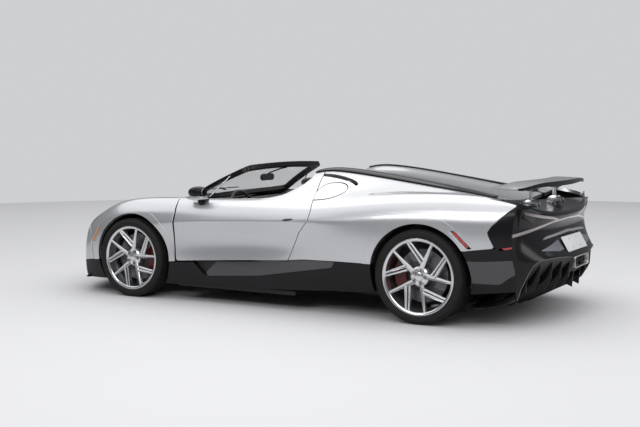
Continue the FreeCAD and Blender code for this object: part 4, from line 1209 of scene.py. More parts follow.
def rib(mesher, hub, sign, start, end, steps=6):
    # a straight rib in the wheel's plane. start and end are (radius, angle, half width, depth, face inset)
    inward = Vector((0, -sign, 0))
    points = []
    for radius, angle, _, _, inset in (start, end):
        a = math.radians(angle)
        points.append(hub + Vector((radius * math.cos(a), 0, radius * math.sin(a))) + inward * inset)
    way = (points[1] - points[0]).normalized()
    across = way.cross(inward).normalized()
    rings = []
    for k in range(steps + 1):
        t = k / steps
        ease = t * t * (3 - 2 * t)
        centre = points[0].lerp(points[1], t)
        centre += inward * ((start[4] + (end[4] - start[4]) * ease) - (start[4] + (end[4] - start[4]) * t))
        rings.append(ribRing(centre, across, inward, start[2] + (end[2] - start[2]) * ease,
                             start[3] + (end[3] - start[3]) * t, 0.0035))
    mesher.loft(rings)


def makeRim(end, side, sign, centre, rimRadius, faceY, width, phase):
    mesher = Mesher()
    inward = -sign
    hub = Vector((centre.x, faceY, centre.z))
    turned = phase if sign < 0 else 180 - phase
    hand = 1 if sign < 0 else -1
    profile = [(rimRadius + 0.012, 0.007), (rimRadius + 0.013, 0.012), (rimRadius, 0.019),
               (rimRadius - 0.006, 0.055), (rimRadius - 0.020, 0.100), (rimRadius - 0.020, width - 0.060),
               (rimRadius + 0.002, width - 0.020), (rimRadius + 0.008, width - 0.013),
               (rimRadius + 0.006, width - 0.010), (rimRadius - 0.012, width - 0.020),
               (rimRadius - 0.030, width - 0.062), (rimRadius - 0.030, 0.105), (rimRadius - 0.019, 0.058),
               (rimRadius - 0.013, 0.030), (rimRadius - 0.010, 0.014), (rimRadius - 0.002, 0.0075),
               (rimRadius + 0.006, 0.0055)]
    mesher.spin([(r, y * inward) for r, y in profile], hub, 128)
    out = wheelLook["face"]
    deep = out + wheelLook["dish"]
    fork = rimRadius * wheelLook["forkShare"]
    reach = rimRadius - 0.006
    for k in range(5):
        main = turned + hand * 72 * k
        branch = main + hand * wheelLook["branchTurn"]
        rib(mesher, hub, sign, (0.045, main + hand * 14, 0.020, 0.050, deep),
            (reach, main, 0.0105, 0.042, out))
        rib(mesher, hub, sign, (fork * 0.98, main + hand * 5, 0.012, 0.040, out + 0.009),
            (reach, branch, 0.0085, 0.040, out))
        rib(mesher, hub, sign, (fork * 0.80, main + hand * 15, 0.009, 0.036, out + 0.013),
            (reach, branch + hand * 5.0, 0.0075, 0.040, out + 0.001))
    hubProfile = [(0.0005, deep - 0.004), (0.026, deep - 0.004), (0.030, deep - 0.002), (0.031, deep + 0.004),
                  (0.034, deep + 0.005), (0.037, deep + 0.002), (0.062, deep + 0.004), (0.074, deep + 0.012),
                  (0.078, deep + 0.024), (0.0800, 0.149), (0.0005, 0.149)]
    mesher.spin([(r, y * inward) for r, y in hubProfile], hub, 64)
    wheel = mesher.thing("rim" + end + side, "polishedAlloy", 28)
    bolt = Mesher()
    for boltProfile, segments in (([(0.0004, deep - 0.001), (0.0085, deep - 0.001), (0.0095, deep + 0.001),
                                    (0.0095, deep + 0.02), (0.0004, deep + 0.02)], 6),
                                  ([(0.0115, deep + 0.002), (0.0150, deep - 0.0005), (0.0175, deep + 0.003),
                                    (0.0175, deep + 0.02), (0.0115, deep + 0.02)], 20)):
        bolt.spin([(r, y * inward) for r, y in boltProfile], Vector((0.052, 0, 0)), segments)
    source = bolt.thing("boltSource", "bareSteel")
    bolts = repeat("wheelBolts" + end + side, source, 5, "bareSteel", math.radians(72), tuple(hub))
    body = "wheel_" + end + "_" + side
    finishPiece(wheel, body, nodes=["rim_" + end + "_" + side])
    finishPiece(bolts, body)


def makeTyre(end, side, sign, centre, rimRadius, radius, faceY, width):
    inward = -sign
    tread = radius - wheelLook["treadDepth"]
    half = [(rimRadius + 0.0145, 0.0140), (rimRadius + 0.017, 0.0075), (rimRadius + 0.022, 0.0045),
            (rimRadius + 0.026, 0.0030), (rimRadius + 0.0272, 0.0020), (rimRadius + 0.030, 0.0022),
            (rimRadius + 0.040, 0.0012), (rimRadius + 0.0412, 0.0004), (rimRadius + 0.044, 0.0012),
            (tread - 0.026, 0.0006), (tread - 0.0245, 0.0002), (tread - 0.018, 0.0025),
            (tread - 0.010, 0.0085), (tread - 0.004, 0.0150), (tread - 0.001, 0.0230), (tread, 0.0320)]
    profile = half + [(r, width - y) for r, y in reversed(half)]
    mesher = Mesher()
    hub = Vector((centre.x, faceY, centre.z))
    mesher.spin([(r, y * inward) for r, y in profile], hub, 120)
    tyre = mesher.thing("tyre" + end + side, "tyreRubber", 50)
    pitch = 2 * math.pi / wheelLook["treadPitches"]
    blocks = Mesher()
    lanes = [(0.012, 0.052, 0.16), (0.060, width * 0.34, -0.22),
             (width * 0.34 + 0.009, width * 0.5 - 0.005, 0.10),
             (width * 0.5 + 0.005, width * 0.66 - 0.009, -0.10), (width * 0.66, width - 0.060, 0.22),
             (width - 0.052, width - 0.012, -0.16)]
    for y0, y1, slant in lanes:
        skew = slant * pitch * 2
        rings = []
        for level, inset in ((tread - 0.003, 0.0), (radius - 0.0018, 0.0), (radius - 0.0004, 0.0015)):
            ring = []
            for y, shift in ((y0 + inset, -skew), (y1 - inset, skew)):
                edge = max(0.0, 0.030 - min(y, width - y)) / 0.030
                drop = 0.011 * edge ** 2
                angles = (-0.40, 0.40) if shift == -skew else (0.40, -0.40)
                for share in angles:
                    a = pitch * share + shift
                    r = level - drop
                    ring.append((r * math.cos(a), y * inward, r * math.sin(a)))
            rings.append(ring)
        blocks.loft(rings)
    source = blocks.thing("treadSource", "tyreRubber")
    treadMesh = repeat("tread" + end + side, source, wheelLook["treadPitches"], "tyreRubber", pitch,
                       tuple(hub))
    body = "wheel_" + end + "_" + side
    finishPiece(tyre, body, nodes=["tyre_" + end + "_" + side])
    finishPiece(treadMesh, body)


def makeDisc(end, side, sign, centre):
    # a drilled disc: one sector with its holes, repeated round the axle
    low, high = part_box("disc_" + end + "_" + side)
    outer = (high.x - low.x) / 2
    inner = 0.118
    sectors = wheelLook["discHoles"]
    half = math.pi / sectors
    points = []
    edges = []

    def addLoop(loop):
        start = len(points)
        points.extend(loop)
        edges.extend((start + k, start + (k + 1) % len(loop)) for k in range(len(loop)))

    addLoop([Vector((inner * math.cos(a), inner * math.sin(a))) for a in (-half, 0, half)]
            + [Vector((outer * math.cos(a), outer * math.sin(a)))
               for a in (half, half / 2, 0, -half / 2, -half)])
    holes = [(0.132, -0.4), (0.150, 0.4), (0.168, -0.4), (0.186, 0.4)]
    for r, share in holes:
        middle = Vector((r * math.cos(half * share), r * math.sin(half * share)))
        addLoop([middle + Vector((0.0038 * math.cos(k * math.pi / 5), 0.0038 * math.sin(k * math.pi / 5)))
                 for k in range(10)])
    spots, _, faces = delaunay_2d_cdt(points, edges, [], 1, 1e-7)[:3]
    sector = Mesher()
    bm = bmesh.new()
    verts = [bm.verts.new((p.x, 0, p.y)) for p in spots]
    for face in faces:
        middle = sum((spots[a] for a in face), Vector((0, 0))) / len(face)
        inHole = any((middle - Vector((r * math.cos(half * s), r * math.sin(half * s)))).length < 0.0036
                     for r, s in holes)
        if not inHole:
            bm.faces.new([verts[a] for a in face])
    thickness = high.y - low.y
    grown = bmesh.ops.extrude_face_region(bm, geom=bm.faces[:])
    moved = [v for v in grown["geom"] if isinstance(v, bmesh.types.BMVert)]
    bmesh.ops.translate(bm, verts=moved, vec=(0, thickness * 0.999, 0))
    flank = [f for f in bm.faces if abs(f.normal.y) < 0.5
             and abs(abs(math.atan2(f.calc_center_median().z, f.calc_center_median().x)) - half) < 1e-4]
    bmesh.ops.delete(bm, geom=flank, context="FACES_ONLY")
    mesh = bpy.data.meshes.new("discSource")
    bm.to_mesh(mesh)
    bm.free()
    source = bpy.data.objects.new("discSource", mesh)
    scene.collection.objects.link(source)
    disc = repeat("disc" + end + side, source, sectors, "discIron", 2 * half, (centre.x, low.y, centre.z))
    sharpen(disc, 40)
    bell = Mesher()
    yOut = low.y if sign < 0 else high.y
    inward = -sign
    bell.spin([(0.083, yOut - 0.004 * inward), (0.104, yOut - 0.006 * inward), (0.112, yOut + 0.002 * inward),
               (0.119, yOut + 0.004 * inward), (0.119, yOut + 0.026 * inward),
               (0.083, yOut + 0.026 * inward)],
              Vector((centre.x, 0, centre.z)), 72)
    bellThing = bell.thing("discBell" + end + side, "bareSteel")
    body = "wheel_" + end + "_" + side
    finishPiece(disc, body, nodes=["disc_" + end + "_" + side])
    finishPiece(bellThing, body)


for end, axleX, tyreRadius, phase in (("front", frontAxleX, frontTyreRadius, wheelLook["frontPhase"]),
                                      ("rear", rearAxleX, rearTyreRadius, wheelLook["rearPhase"])):
    for side, sign in sides:
        low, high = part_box("tyre_%s_%s" % (end, side))
        rimLow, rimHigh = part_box("rim_%s_%s" % (end, side))
        rimRadius = (rimHigh.z - rimLow.z) / 2 - 0.014
        faceY = low.y if sign < 0 else high.y
        centre = Vector((axleX, 0, tyreRadius))
        width = high.y - low.y
        makeRim(end, side, sign, centre, rimRadius, faceY, width, phase)
        makeTyre(end, side, sign, centre, rimRadius, tyreRadius, faceY, width)
        makeDisc(end, side, sign, centre)
print("wheels ready")


# Lower body, lamps and grille

frontLook = {
    "grilleDepth": 0.026,
    "slatPitch": 0.024,
    "lampDepth": 0.028,
    "lowest": 0.1275,
}
noseCorner = [(-660, 880), (-600, 905), (-560, 925), (-530, 940), (-500, 965)]
splitterPlan = [(-930, 0), (-922, 200), (-888, 400), (-815, 585), (-716, 738), (-636, 832), (-560, 895),
                (-432, 895), (-432, 0)]

lowerNose = panel("lowerNose", bodySurface, [lowerShell + [less(0, carX(330)), outside(intakeArea)]],
                  bodyLook["doorSkin"], "glossBlack", "root", ["splitter"], shrink=0.0)
for vert in lowerNose.data.vertices:    # its deep wall folds over at the corners without this
    widest = np.interp(vert.co.x, [carX(x) for x, y in noseCorner], [y / 1000 for x, y in noseCorner])
    vert.co.y = min(max(vert.co.y, -widest), widest)
    vert.co.z = max(vert.co.z, frontLook["lowest"])
lipPoints = [Vector((carX(x * 0.945), -y * 0.955 / 1000, frontLook["lowest"])) for x, y in splitterPlan[:-1]]
lipPoints += [Vector((p.x, -p.y, p.z)) for p in reversed(lipPoints) if p.y < -1e-6]
finishPiece(extruded("splitterLip", lipPoints, Vector((0, 0, 0.010)), "carbonWeave", 0.003), "root")

panel("lampCovers", bodySurface, [[lampArea]], 0.004, "lampLens", "root", ["headlamps"], edge=0.0015,
      shrink=0.0012)
lampFloor = movedIn(bodyNet(), frontLook["lampDepth"])
panel("lampBowls", lampFloor, [[lampArea]], 0.004, "glossBlack", "root", edge=0.001, shrink=0.001)
panel("frontMarkers", bodySurface, [[frontMarkerArea, paintedArea, outside(noseArea)]], 0.006, "amberLens",
      "root", edge=0.0015, shrink=0.0012)
lampRods = []
spots = lampFloor.at(lampFloor.grid(12, 8)[0])
for side in (-1, 1):
    for inset in (0.2, 0.5, 0.8):
        path = []
        for x, y0, y1 in ((-400, 800, 835), (-470, 770, 850), (-560, 738, 850), (-640, 690, 805),
                          (-710, 655, 745)):
            y = (y0 + (y1 - y0) * inset) / 1000
            near = np.argmin((spots[:, 0] - carX(x)) ** 2 + (spots[:, 1] - side * y) ** 2
                             + np.where(spots[:, 2] < 0.45, 1.0, 0.0))
            path.append(Vector((carX(x), side * y, spots[near][2] + 0.007)))
        lampRods.append(path)
finishPiece(strip("lampRods", lampRods, 0.0065, "lampLight"), "root")

grilleSurface = movedIn(bodyNet(), frontLook["grilleDepth"])
panel("grilleBack", grilleSurface, [[intakeArea]], 0.004, "cabinTrim", "root", ["front_grille"], edge=0.001,
      shrink=0.002)
bars = []
spots = grilleSurface.at(grilleSurface.grid(8, 6)[0])
spots = spots[spots[:, 0] < carX(-500)]
for n in range(6):
    z = 190 + n * frontLook["slatPitch"] * 1000
    for y0, y1 in ((-390, 390), (-750, -510), (510, 750)):
        path = []
        for k in range(9):
            y = y0 + (y1 - y0) * k / 8
            near = spots[np.argmin((spots[:, 1] - y / 1000) ** 2 + (spots[:, 2] - z / 1000) ** 2)]
            path.append(Vector((near[0] - 0.004, y / 1000, z / 1000)))
        bars.append(path)
finishPiece(strip("grilleBars", bars, 0.004, "glossBlack"), "root")


# Tail

# Each row of the tail's face: its (x, z) at the middle and the (y, z) where it meets the body's end.
tailRows = [
    ((3540, 815), (838, 912)), ((3566, 790), (868, 868)), ((3534, 745), (893, 800)),
    ((3514, 700), (903, 735)), ((3530, 640), (905, 665)), ((3565, 585), (901, 600)),
    ((3606, 530), (895, 540)), ((3648, 485), (888, 488)), ((3640, 435), (876, 435)),
    ((3628, 380), (864, 375)), ((3590, 325), (853, 300)), ((3560, 270), (846, 215)),
]
tailShares = [0, 230 / 838, 430 / 838, 540 / 838, 670 / 838, 770 / 838, 1.0]
tailTop = [815, 819, 832, 845, 872, 900, 912]
upperBarLine = [(830, 862), (560, 812), (355, 786), (262, 770), (262, 750), (355, 764), (560, 788),
                (800, 830)]
lowerBarTop = [(930, 690), (640, 722), (320, 760), (0, 768)]
lowerBarBottom = [(0, 748), (320, 738), (640, 700), (930, 666)]
bodyTail = {"x": 3385, "bow": 155, "halfWidth": 950}


def tailX(y):
    # where the body ends, at a drawn y
    return bodyTail["x"] + bodyTail["bow"] * (1 - (y / bodyTail["halfWidth"]) ** 2)


def fasciaNet():
    net = []
    for n, ((middleX, middleZ), (endY, endZ)) in enumerate(tailRows):
        half = []
        for share, topZ in zip(tailShares, tailTop):
            y = share * endY
            power = 2.4 + 0.5 * min(1.0, n / 7)
            x = tailX(endY) + (middleX - tailX(endY)) * (1 - share ** power)
            z = middleZ + (endZ - middleZ) * share ** 2.2
            half.append((tailX(y), y, topZ) if n == 0 else (x, y, z))
        net.append(wholeRow(half))
    return net


def tailArea(points):
    return outlineField([(y / 1000, z / 1000) for y, z in points], 1, 2)


fasciaSurface = Surface(fasciaNet())
barLines = [upperBarLine, [(-y, z) for y, z in upperBarLine],
            lowerBarTop + [(-y, z) for y, z in reversed(lowerBarTop[:-1])]
            + [(-y, z) for y, z in reversed(lowerBarBottom[1:])] + lowerBarBottom]
barAreas = [tailArea(points) for points in barLines]
exhaustArea = tailArea([(-187, 382), (187, 382), (187, 480), (-187, 480)])
plateArea = tailArea([(-258, 513), (258, 513), (258, 631), (-258, 631)])
archLine = [(843, 220), (815, 290), (784, 357), (762, 410), (738, 452), (700, 476), (651, 489), (550, 494),
            (453, 493), (293, 484), (215, 472), (196, 440), (192, 378), (0, 378)]
tunnelArea = tailArea([(-y, z) for y, z in archLine] + [(y, z) for y, z in reversed(archLine[:-1])]
                      + [(860, 150), (-860, 150)])
ledgeArea = tailArea([(-600, 620), (-450, 632), (0, 646), (450, 632), (600, 620), (450, 650), (0, 668),
                      (-450, 650)])
facetLine = [(640, 556), (268, 616), (268, 540), (360, 532)]
facetAreas = [tailArea(facetLine), tailArea([(-y, z) for y, z in facetLine])]
fasciaSteps = (10, 12)
fascia = panel("fascia", fasciaSurface,
               [[outside(either(*barAreas)), outside(either(exhaustArea, plateArea, ledgeArea, tunnelArea)),
                 outside(either(*facetAreas))]],
               0.010, "glossBlack", "root", ["rear_bumper"], steps=fasciaSteps, edge=0.002, shrink=0.0004)
panel("tailFacets", fasciaSurface, [[area] for area in facetAreas], 0.010, "greyPaint", "root",
      steps=fasciaSteps, edge=0.003, shrink=0.0006)
panel("tailLedge", fasciaSurface, [[ledgeArea]], 0.010, "silverPaint", "root", steps=fasciaSteps, edge=0.003,
      shrink=0.0004)
lowerSilver = sideArea([(2980, 500), (3136, 492), (3300, 500), (3460, 512), (3460, 420), (3380, 380),
                        (3311, 324), (3149, 328), (2960, 330)])
cornerShell = lowerShell + [more(0, carX(2750)), outside(rearMarkerArea)]
panel("rearCorners", bodySurface, [cornerShell + [outside(either(lowerSilver, reflectorArea))]],
      bodyLook["skin"], "glossBlack", "root", shrink=0.0004)
# the silver lower corners take the dark paint, a darker copy of the silver: painted shade low on the tail's
# sides
panel("rearCornerPaint", bodySurface, [cornerShell + [lowerSilver]],
      bodyLook["skin"], "darkPaint", "root", shrink=0.0004)
panel("rearReflectors", bodySurface, [cornerShell + [reflectorArea]], 0.006, "redLens", "root", edge=0.0015,
      shrink=0.001)
panel("lightBars", fasciaSurface, [[area] for area in barAreas], 0.010, "lightBar", "root", ["tail_lamps"],
      steps=(14, 14), edge=0.0015, shrink=0.0006)
panel("rearMarkers", bodySurface, [[rearMarkerArea]], 0.008, "redLens", "root", edge=0.002, shrink=0.001)
plateFloor = movedIn(fasciaNet(), 0.012)
panel("plateRecess", plateFloor, [[plateArea]], 0.003, "cabinTrim", "root", steps=fasciaSteps, edge=0.0005,
      shrink=-0.002)


def onTail(y, z):
    # the tail's face at a drawn (y, z): the nearest point of a grid, then six steps towards the place
    uv, _ = fasciaSurface.grid(6, 8)
    goal = np.array([y / 1000, z / 1000])
    best = uv[np.argmin(((fasciaSurface.at(uv)[:, 1:] - goal) ** 2).sum(1))][None, :]
    h = 1e-4
    for _ in range(6):
        spot = fasciaSurface.at(best)[0]
        du = (fasciaSurface.at(best + (h, 0))[0] - spot)[1:] / h
        dv = (fasciaSurface.at(best + (0, h))[0] - spot)[1:] / h
        move = np.linalg.lstsq(np.stack([du, dv], 1), goal - spot[1:], rcond=None)[0]
        best = best + np.clip(move, -0.3, 0.3)
    return Vector(fasciaSurface.at(best)[0])


plateLine = [(3555, 628), (3618, 516)]
plateLook = {"halfWidth": 253.0, "round": 12.0, "holeY": 89.0, "holeZ": 35.0}


def roundedOutline(halfWidth, halfHeight, radius, steps=5):
    points = []
    for cx, cy, start in ((halfWidth - radius, halfHeight - radius, 0),
                          (radius - halfWidth, halfHeight - radius, 90),
                          (radius - halfWidth, radius - halfHeight, 180),
                          (halfWidth - radius, radius - halfHeight, 270)):
        for k in range(steps + 1):
            a = math.radians(start + 90 * k / steps)
            points.append((cx + radius * math.cos(a), cy + radius * math.sin(a)))
    return points


plateTop = Vector((carX(plateLine[0][0]), 0, plateLine[0][1] / 1000))
plateFoot = Vector((carX(plateLine[1][0]), 0, plateLine[1][1] / 1000))
plateUp = (plateTop - plateFoot).normalized()
plateOut = Vector((plateUp.z, 0, -plateUp.x))
plateMiddle = (plateTop + plateFoot) / 2
plateHalf = (plateTop - plateFoot).length * 500
plateSpots = [plateMiddle - plateOut * 0.0045 + Vector((0, a / 1000, 0)) + plateUp * (b / 1000)
              for a, b in roundedOutline(plateLook["halfWidth"], plateHalf - 0.5, plateLook["round"])]
finishPiece(extruded("platePanel", plateSpots, plateOut * 0.003, "plateFace", 0.0008), "root",
            nodes=["plate_panel"])
border = [p + plateOut * 0.0034 for p in plateSpots]
middle = plateMiddle + plateOut * -0.001
border = [middle + (p - plateMiddle) * 0.965 - plateOut * ((p - plateMiddle).dot(plateOut)) * 0.965
          for p in border]
finishPiece(strip("plateRib", [border + border[:1]], 0.0011, "plateFace", 6), "root")
screws = Mesher()
for a in (-plateLook["holeY"], plateLook["holeY"]):
    for b in (-plateLook["holeZ"], plateLook["holeZ"]):
        spot = plateMiddle + Vector((0, a / 1000, 0)) + plateUp * (b / 1000)
        screws.loft([[spot + plateOut * lift + Vector((0, radius * math.cos(a),
                                                       0)) + plateUp * (radius * math.sin(a))
                      for a in turns(12)]
                     for lift, radius in ((-0.004, 0.0055), (-0.0004, 0.0055), (0.0004, 0.0040))])
finishPiece(screws.thing("plateScrews", "bareSteel"), "root")

# Diffuser: two tunnels that rise to the tail under a bright edge, with strakes
tunnelLook = {"frontX": 3060.0, "frontZ": 134.0, "curve": 2.2, "strakes": (90, 230, 370, 510, 650, 760)}
archFull = [(-y, z) for y, z in archLine] + [(y, z) for y, z in reversed(archLine[:-1])]
archSpots = [onTail(y, z) for y, z in archFull]


def tunnelPoint(spot, share):
    startX = carX(tunnelLook["frontX"])
    startZ = tunnelLook["frontZ"] / 1000
    return Vector((startX + (spot.x - 0.004 - startX) * share, spot.y,
                   startZ + (spot.z - 0.003 - startZ) * share ** tunnelLook["curve"]))


tunnelNet = [[tuple(tunnelPoint(spot, share)) for spot in archSpots]
             for share in (0, 0.2, 0.4, 0.6, 0.8, 0.95, 1.0)]
panel("tunnelRoof", Surface(tunnelNet), [[]], 0.006, "carbonWeave", "root", steps=(4, 3), edge=0.001,
      shrink=0.0)
strakes = []
for side in (-1, 1):
    for y in tunnelLook["strakes"]:
        heights = [z for _, z in archFull]
        z = float(np.interp(side * y, [y for y, _ in archFull], heights))
        end = onTail(side * y, z)
        top = [tunnelPoint(end, share) for share in (0.12, 0.3, 0.5, 0.7, 0.85, 0.985)]
        reach = (end.x - carX(0)) * 1000
        low = [(reach - 22, max(230, z - 150)), (reach - 75, 252), (reach - 160, 205), (reach - 330, 120),
               (3160, 116)]
        line = [((p.x - carX(0)) * 1000, p.z * 1000 + 2) for p in top] + low
        strakes.append(sidePiece("strake", line, side * y - 4, side * y + 4, "glossBlack", 0.001))
floorPanel = blockPiece("rearFloor", (3000, -640, 114), (3170, 640, 122), "carbonWeave", 0.002)
finishPiece(joined("diffuserStrakes", strakes + [floorPanel]), "root", nodes=["diffuser"])
finishPiece(strip("diffuserEdge", [[spot + Vector((0.002, 0, 0)) for spot in archSpots[:12]],
                                   [spot + Vector((0.002, 0, 0)) for spot in archSpots[-12:]]], 0.0045,
                  "bareSteel"),
            "root")

# Exhaust: one bright surround, mesh behind it and two pipes
tipLook = {"x0": 3446, "x1": 3648, "halfWidth": 183.0, "z0": 386.0, "z1": 476.0, "wall": 9.0}
tipMiddleZ = (tipLook["z0"] + tipLook["z1"]) / 2
halfHeight = (tipLook["z1"] - tipLook["z0"]) / 2
rings = []
for x, inset in ((tipLook["x0"], 0), (tipLook["x1"] - 4, 0), (tipLook["x1"], 3),
                 (tipLook["x1"], tipLook["wall"] - 2), (tipLook["x1"] - 5, tipLook["wall"]),
                 (tipLook["x0"] + 80, tipLook["wall"])):
    rings.append([(carX(x), a / 1000, (tipMiddleZ + b) / 1000)
                  for a, b in roundedOutline(tipLook["halfWidth"] - inset, halfHeight - inset, 22)])
finishPiece(lofted("exhaustTip", rings, "exhaustMetal"), "root", nodes=["exhaust"])
pipes = Mesher()
for side in (-1, 1):
    pipe = Mesher()
    pipe.spin([(0.034, 0.0), (0.034, 0.10), (0.030, 0.10), (0.030, 0.0)], Vector((0, 0, 0)), 40)
    pipes.add([(carX(3530) + y, x + side * 0.092, z + tipMiddleZ / 1000) for x, y, z in pipe.points],
              pipe.faces)
finishPiece(pipes.thing("exhaustPipes", "bareSteel"), "root")
wires = []
for n in range(-11, 12):
    for lean in (20, -20):
        wires.append([drawn(3520, n * 15.5 - lean, tipMiddleZ - 34),
                      drawn(3520, n * 15.5 + lean, tipMiddleZ + 34)])
wires = [path for path in wires if max(abs(p.y) for p in path) < 0.172]
finishPiece(strip("exhaustMesh", wires, 0.0016, "bareSteel", 6), "root")
print("tail ready")


# Rear wing and its tray

wingLook = {
    "frontX": 3185.0, "centreForward": 95.0, "chord": 238.0, "halfSpan": 817.0, "height": 1050.0,
    "tipFall": 34.0, "edge": 24.0, "core": 18.0, "postX": 3325.0, "postY": 300.0, "postRadius": 0.0155,
    "postFoot": 0.782, "postHead": 1.030,
}


def wingRing(y):
    # one section of the blade: rounded nose, a gentle camber, and a square tail
    side = abs(y) / wingLook["halfSpan"]
    fall = wingLook["tipFall"] * max(0.0, (side - 0.5) / 0.5) ** 1.6
    front = wingLook["frontX"] + wingLook["centreForward"] * (1 - side ** 2)
    tip = max(0.0, (side - 0.9) / 0.1) ** 2
    chord = wingLook["chord"] * (1 - 0.16 * tip)
    thick = (wingLook["edge"] + wingLook["core"] * (1 - side ** 2)) * (1 - 0.4 * tip)
    top = [(1.0, -3), (0.9, -1.5), (0.7, 1), (0.45, 3), (0.2, 3), (0.08, 0.5), (0.02, -5)]
    low = [(0.0, -10), (0.03, -0.62 * thick), (0.12, -0.92 * thick), (0.4, -thick), (0.75, -thick),
           (0.95, -thick), (1.0, -thick * 0.98)]
    spots = []
    for share, drop in top + low:
        spots.append(Vector((carX(front + chord * share), y / 1000,
                             (wingLook["height"] - fall + drop) / 1000)))
    return spots


wingYs = [-1.0, -0.995, -0.98, -0.94, -0.88, -0.8, -0.72, -0.64, -0.56, -0.48, -0.36, -0.24, -0.12, 0.0]
wingYs = wingYs + [-y for y in reversed(wingYs[:-1])]
wingBlade = lofted("wingBlade", [wingRing(y * wingLook["halfSpan"]) for y in wingYs], "silverPaint", 24)
wingBlade.data.materials.append(made["glossBlack"])
for face in wingBlade.data.polygons:
    if face.normal.z < -0.2 or face.normal.x > 0.75:
        face.material_index = 1
finishPiece(wingBlade, "rear_wing", nodes=["rear_wing"])
posts = Mesher()
for side in (-1, 1):
    posts.loft([[(carX(wingLook["postX"]) + wingLook["postRadius"] * math.cos(a),
                  side * wingLook["postY"] / 1000 + wingLook["postRadius"] * math.sin(a), z)
                 for a in turns(20)]
                for z in (wingLook["postFoot"], wingLook["postHead"])])
finishPiece(posts.thing("wingPosts", "polishedAlloy"), "rear_wing")
brackets = []
cheeks = []
for y in (-300, 300):
    brackets.append(sidePiece("bracket", [(3290, 975), (3284, 1020), (3400, 1020), (3388, 988), (3350, 968)],
                              y - 24, y + 24, "polishedAlloy", 0.004))
    for shift in (-38, 38):
        cheeks.append(sidePiece("cheek",
                                [(3270, 850), (3284, 892), (3316, 908), (3362, 908), (3392, 886),
                                 (3400, 850)], y + shift - 7, y + shift + 7, "polishedAlloy", 0.003))
for y in (-455, 455):
    brackets.append(sidePiece("bracket", [(3290, 990), (3294, 1020), (3380, 1020), (3372, 1002), (3330, 984)],
                              y - 14, y + 14, "polishedAlloy", 0.003))
finishPiece(joined("wingBrackets", brackets), "rear_wing")
finishPiece(joined("wingCheeks", cheeks), "root")
print("wing ready")


# Windscreen, pillars and mirrors

screenLook = {
    "baseX": 163.0, "baseZ": 838.0, "crown": 16.0, "pillarBase": (455.0, 772.0, 862.0),
    "pillarHead": (965.0, 600.0, 1140.0), "headerX": 980.0, "headerZ": 1157.0, "frame": 50.0, "edge": 0.93,
    "corner": (918, 562, 54),
}


def screenNet():
    rows = []
    look = screenLook
    footX, footY, footZ = look["pillarBase"]
    headX, headY, headZ = look["pillarHead"]
    for j in range(5):
        t = j / 4
        row = []
        for share in (-1.0, -0.85, -0.5, 0.0, 0.5, 0.85, 1.0):
            side = abs(share)
            foot = (look["baseX"] + (footX - look["baseX"]) * side ** 2.2, footY * share,
                    look["baseZ"] + (footZ - look["baseZ"]) * side)
            head = (look["headerX"] + (headX - look["headerX"]) * side ** 2, headY * share,
                    look["headerZ"] + (headZ - look["headerZ"]) * side ** 2)
            x, y, z = [a + (b - a) * t for a, b in zip(foot, head)]
            row.append((carX(x), y / 1000, (z + look["crown"] * math.sin(math.pi * t)) / 1000))
        rows.append(row)
    return rows


screenPoles = screenNet()
screenSurface = Surface(screenPoles)
windowPlan = [(p[0] + screenLook["frame"] * 0.0009, p[1] * screenLook["edge"]) for p in screenPoles[0]]
windowPlan += [(p[0] - screenLook["frame"] * 0.001, p[1] * screenLook["edge"])
               for p in reversed(screenPoles[-1])]
windowArea = outlineField(windowPlan, 0, 1)


def headerCorner(place):
    # less than 0 outside the round of the header's corners
    cornerX, cornerY, radius = screenLook["corner"]
    x = (place[:, 0] - carX(cornerX)) * 1000
    y = (np.abs(place[:, 1]) - cornerY / 1000) * 1000
    return np.max([-x, -y, radius - np.hypot(x, y)], axis=0) / 1000


panel("screenFrame", screenSurface, [[outside(windowArea), outside(headerCorner)]], 0.040, "glossBlack",
      "root", ["windscreen_frame"], steps=(14, 12), edge=0.005, shrink=0.0004)
paneSurface = movedIn(screenPoles, 0.008)
pane = panel("screenGlass", paneSurface, [[windowArea]], 0.004, "clearGlass", "root", ["windscreen"],
             steps=(10, 8), edge=0.0008, shrink=0.0006)
pane.data.materials[1] = made["clearGlass"]
railEdge = []
for share in np.linspace(-0.97, 0.97, 25):
    spot = screenSurface.at(np.array([[screenSurface.ends[0], screenSurface.ends[1] * (share + 1) / 2]]))[0]
    railEdge.append(Vector(spot) + Vector((-0.002, 0, -0.034)))
finishPiece(strip("headerSeal", [railEdge], 0.006, "cabinTrim"), "root")
quarterCorners = [(478, -752, 872), (668, -757, 873), (810, -655, 1046)]
panes = []
for side in (1, -1):
    spots = [drawn(x, y * side, z) for x, y, z in quarterCorners]
    panes.append(extruded("quarterPane", spots, Vector((0, 0.004 * side, 0)), "clearGlass", 0.0006))
finishPiece(joined("quarterPanes", panes), "root")
dividers = []
for side in (1, -1):
    dividers.append([drawn(x, y * side, z) for x, y, z in
                     ((668, -757, 870), (716, -722, 930), (764, -688, 990), (812, -654, 1048))])
finishPiece(strip("quarterDividers", dividers, 0.0048, "polishedAlloy"), "root")

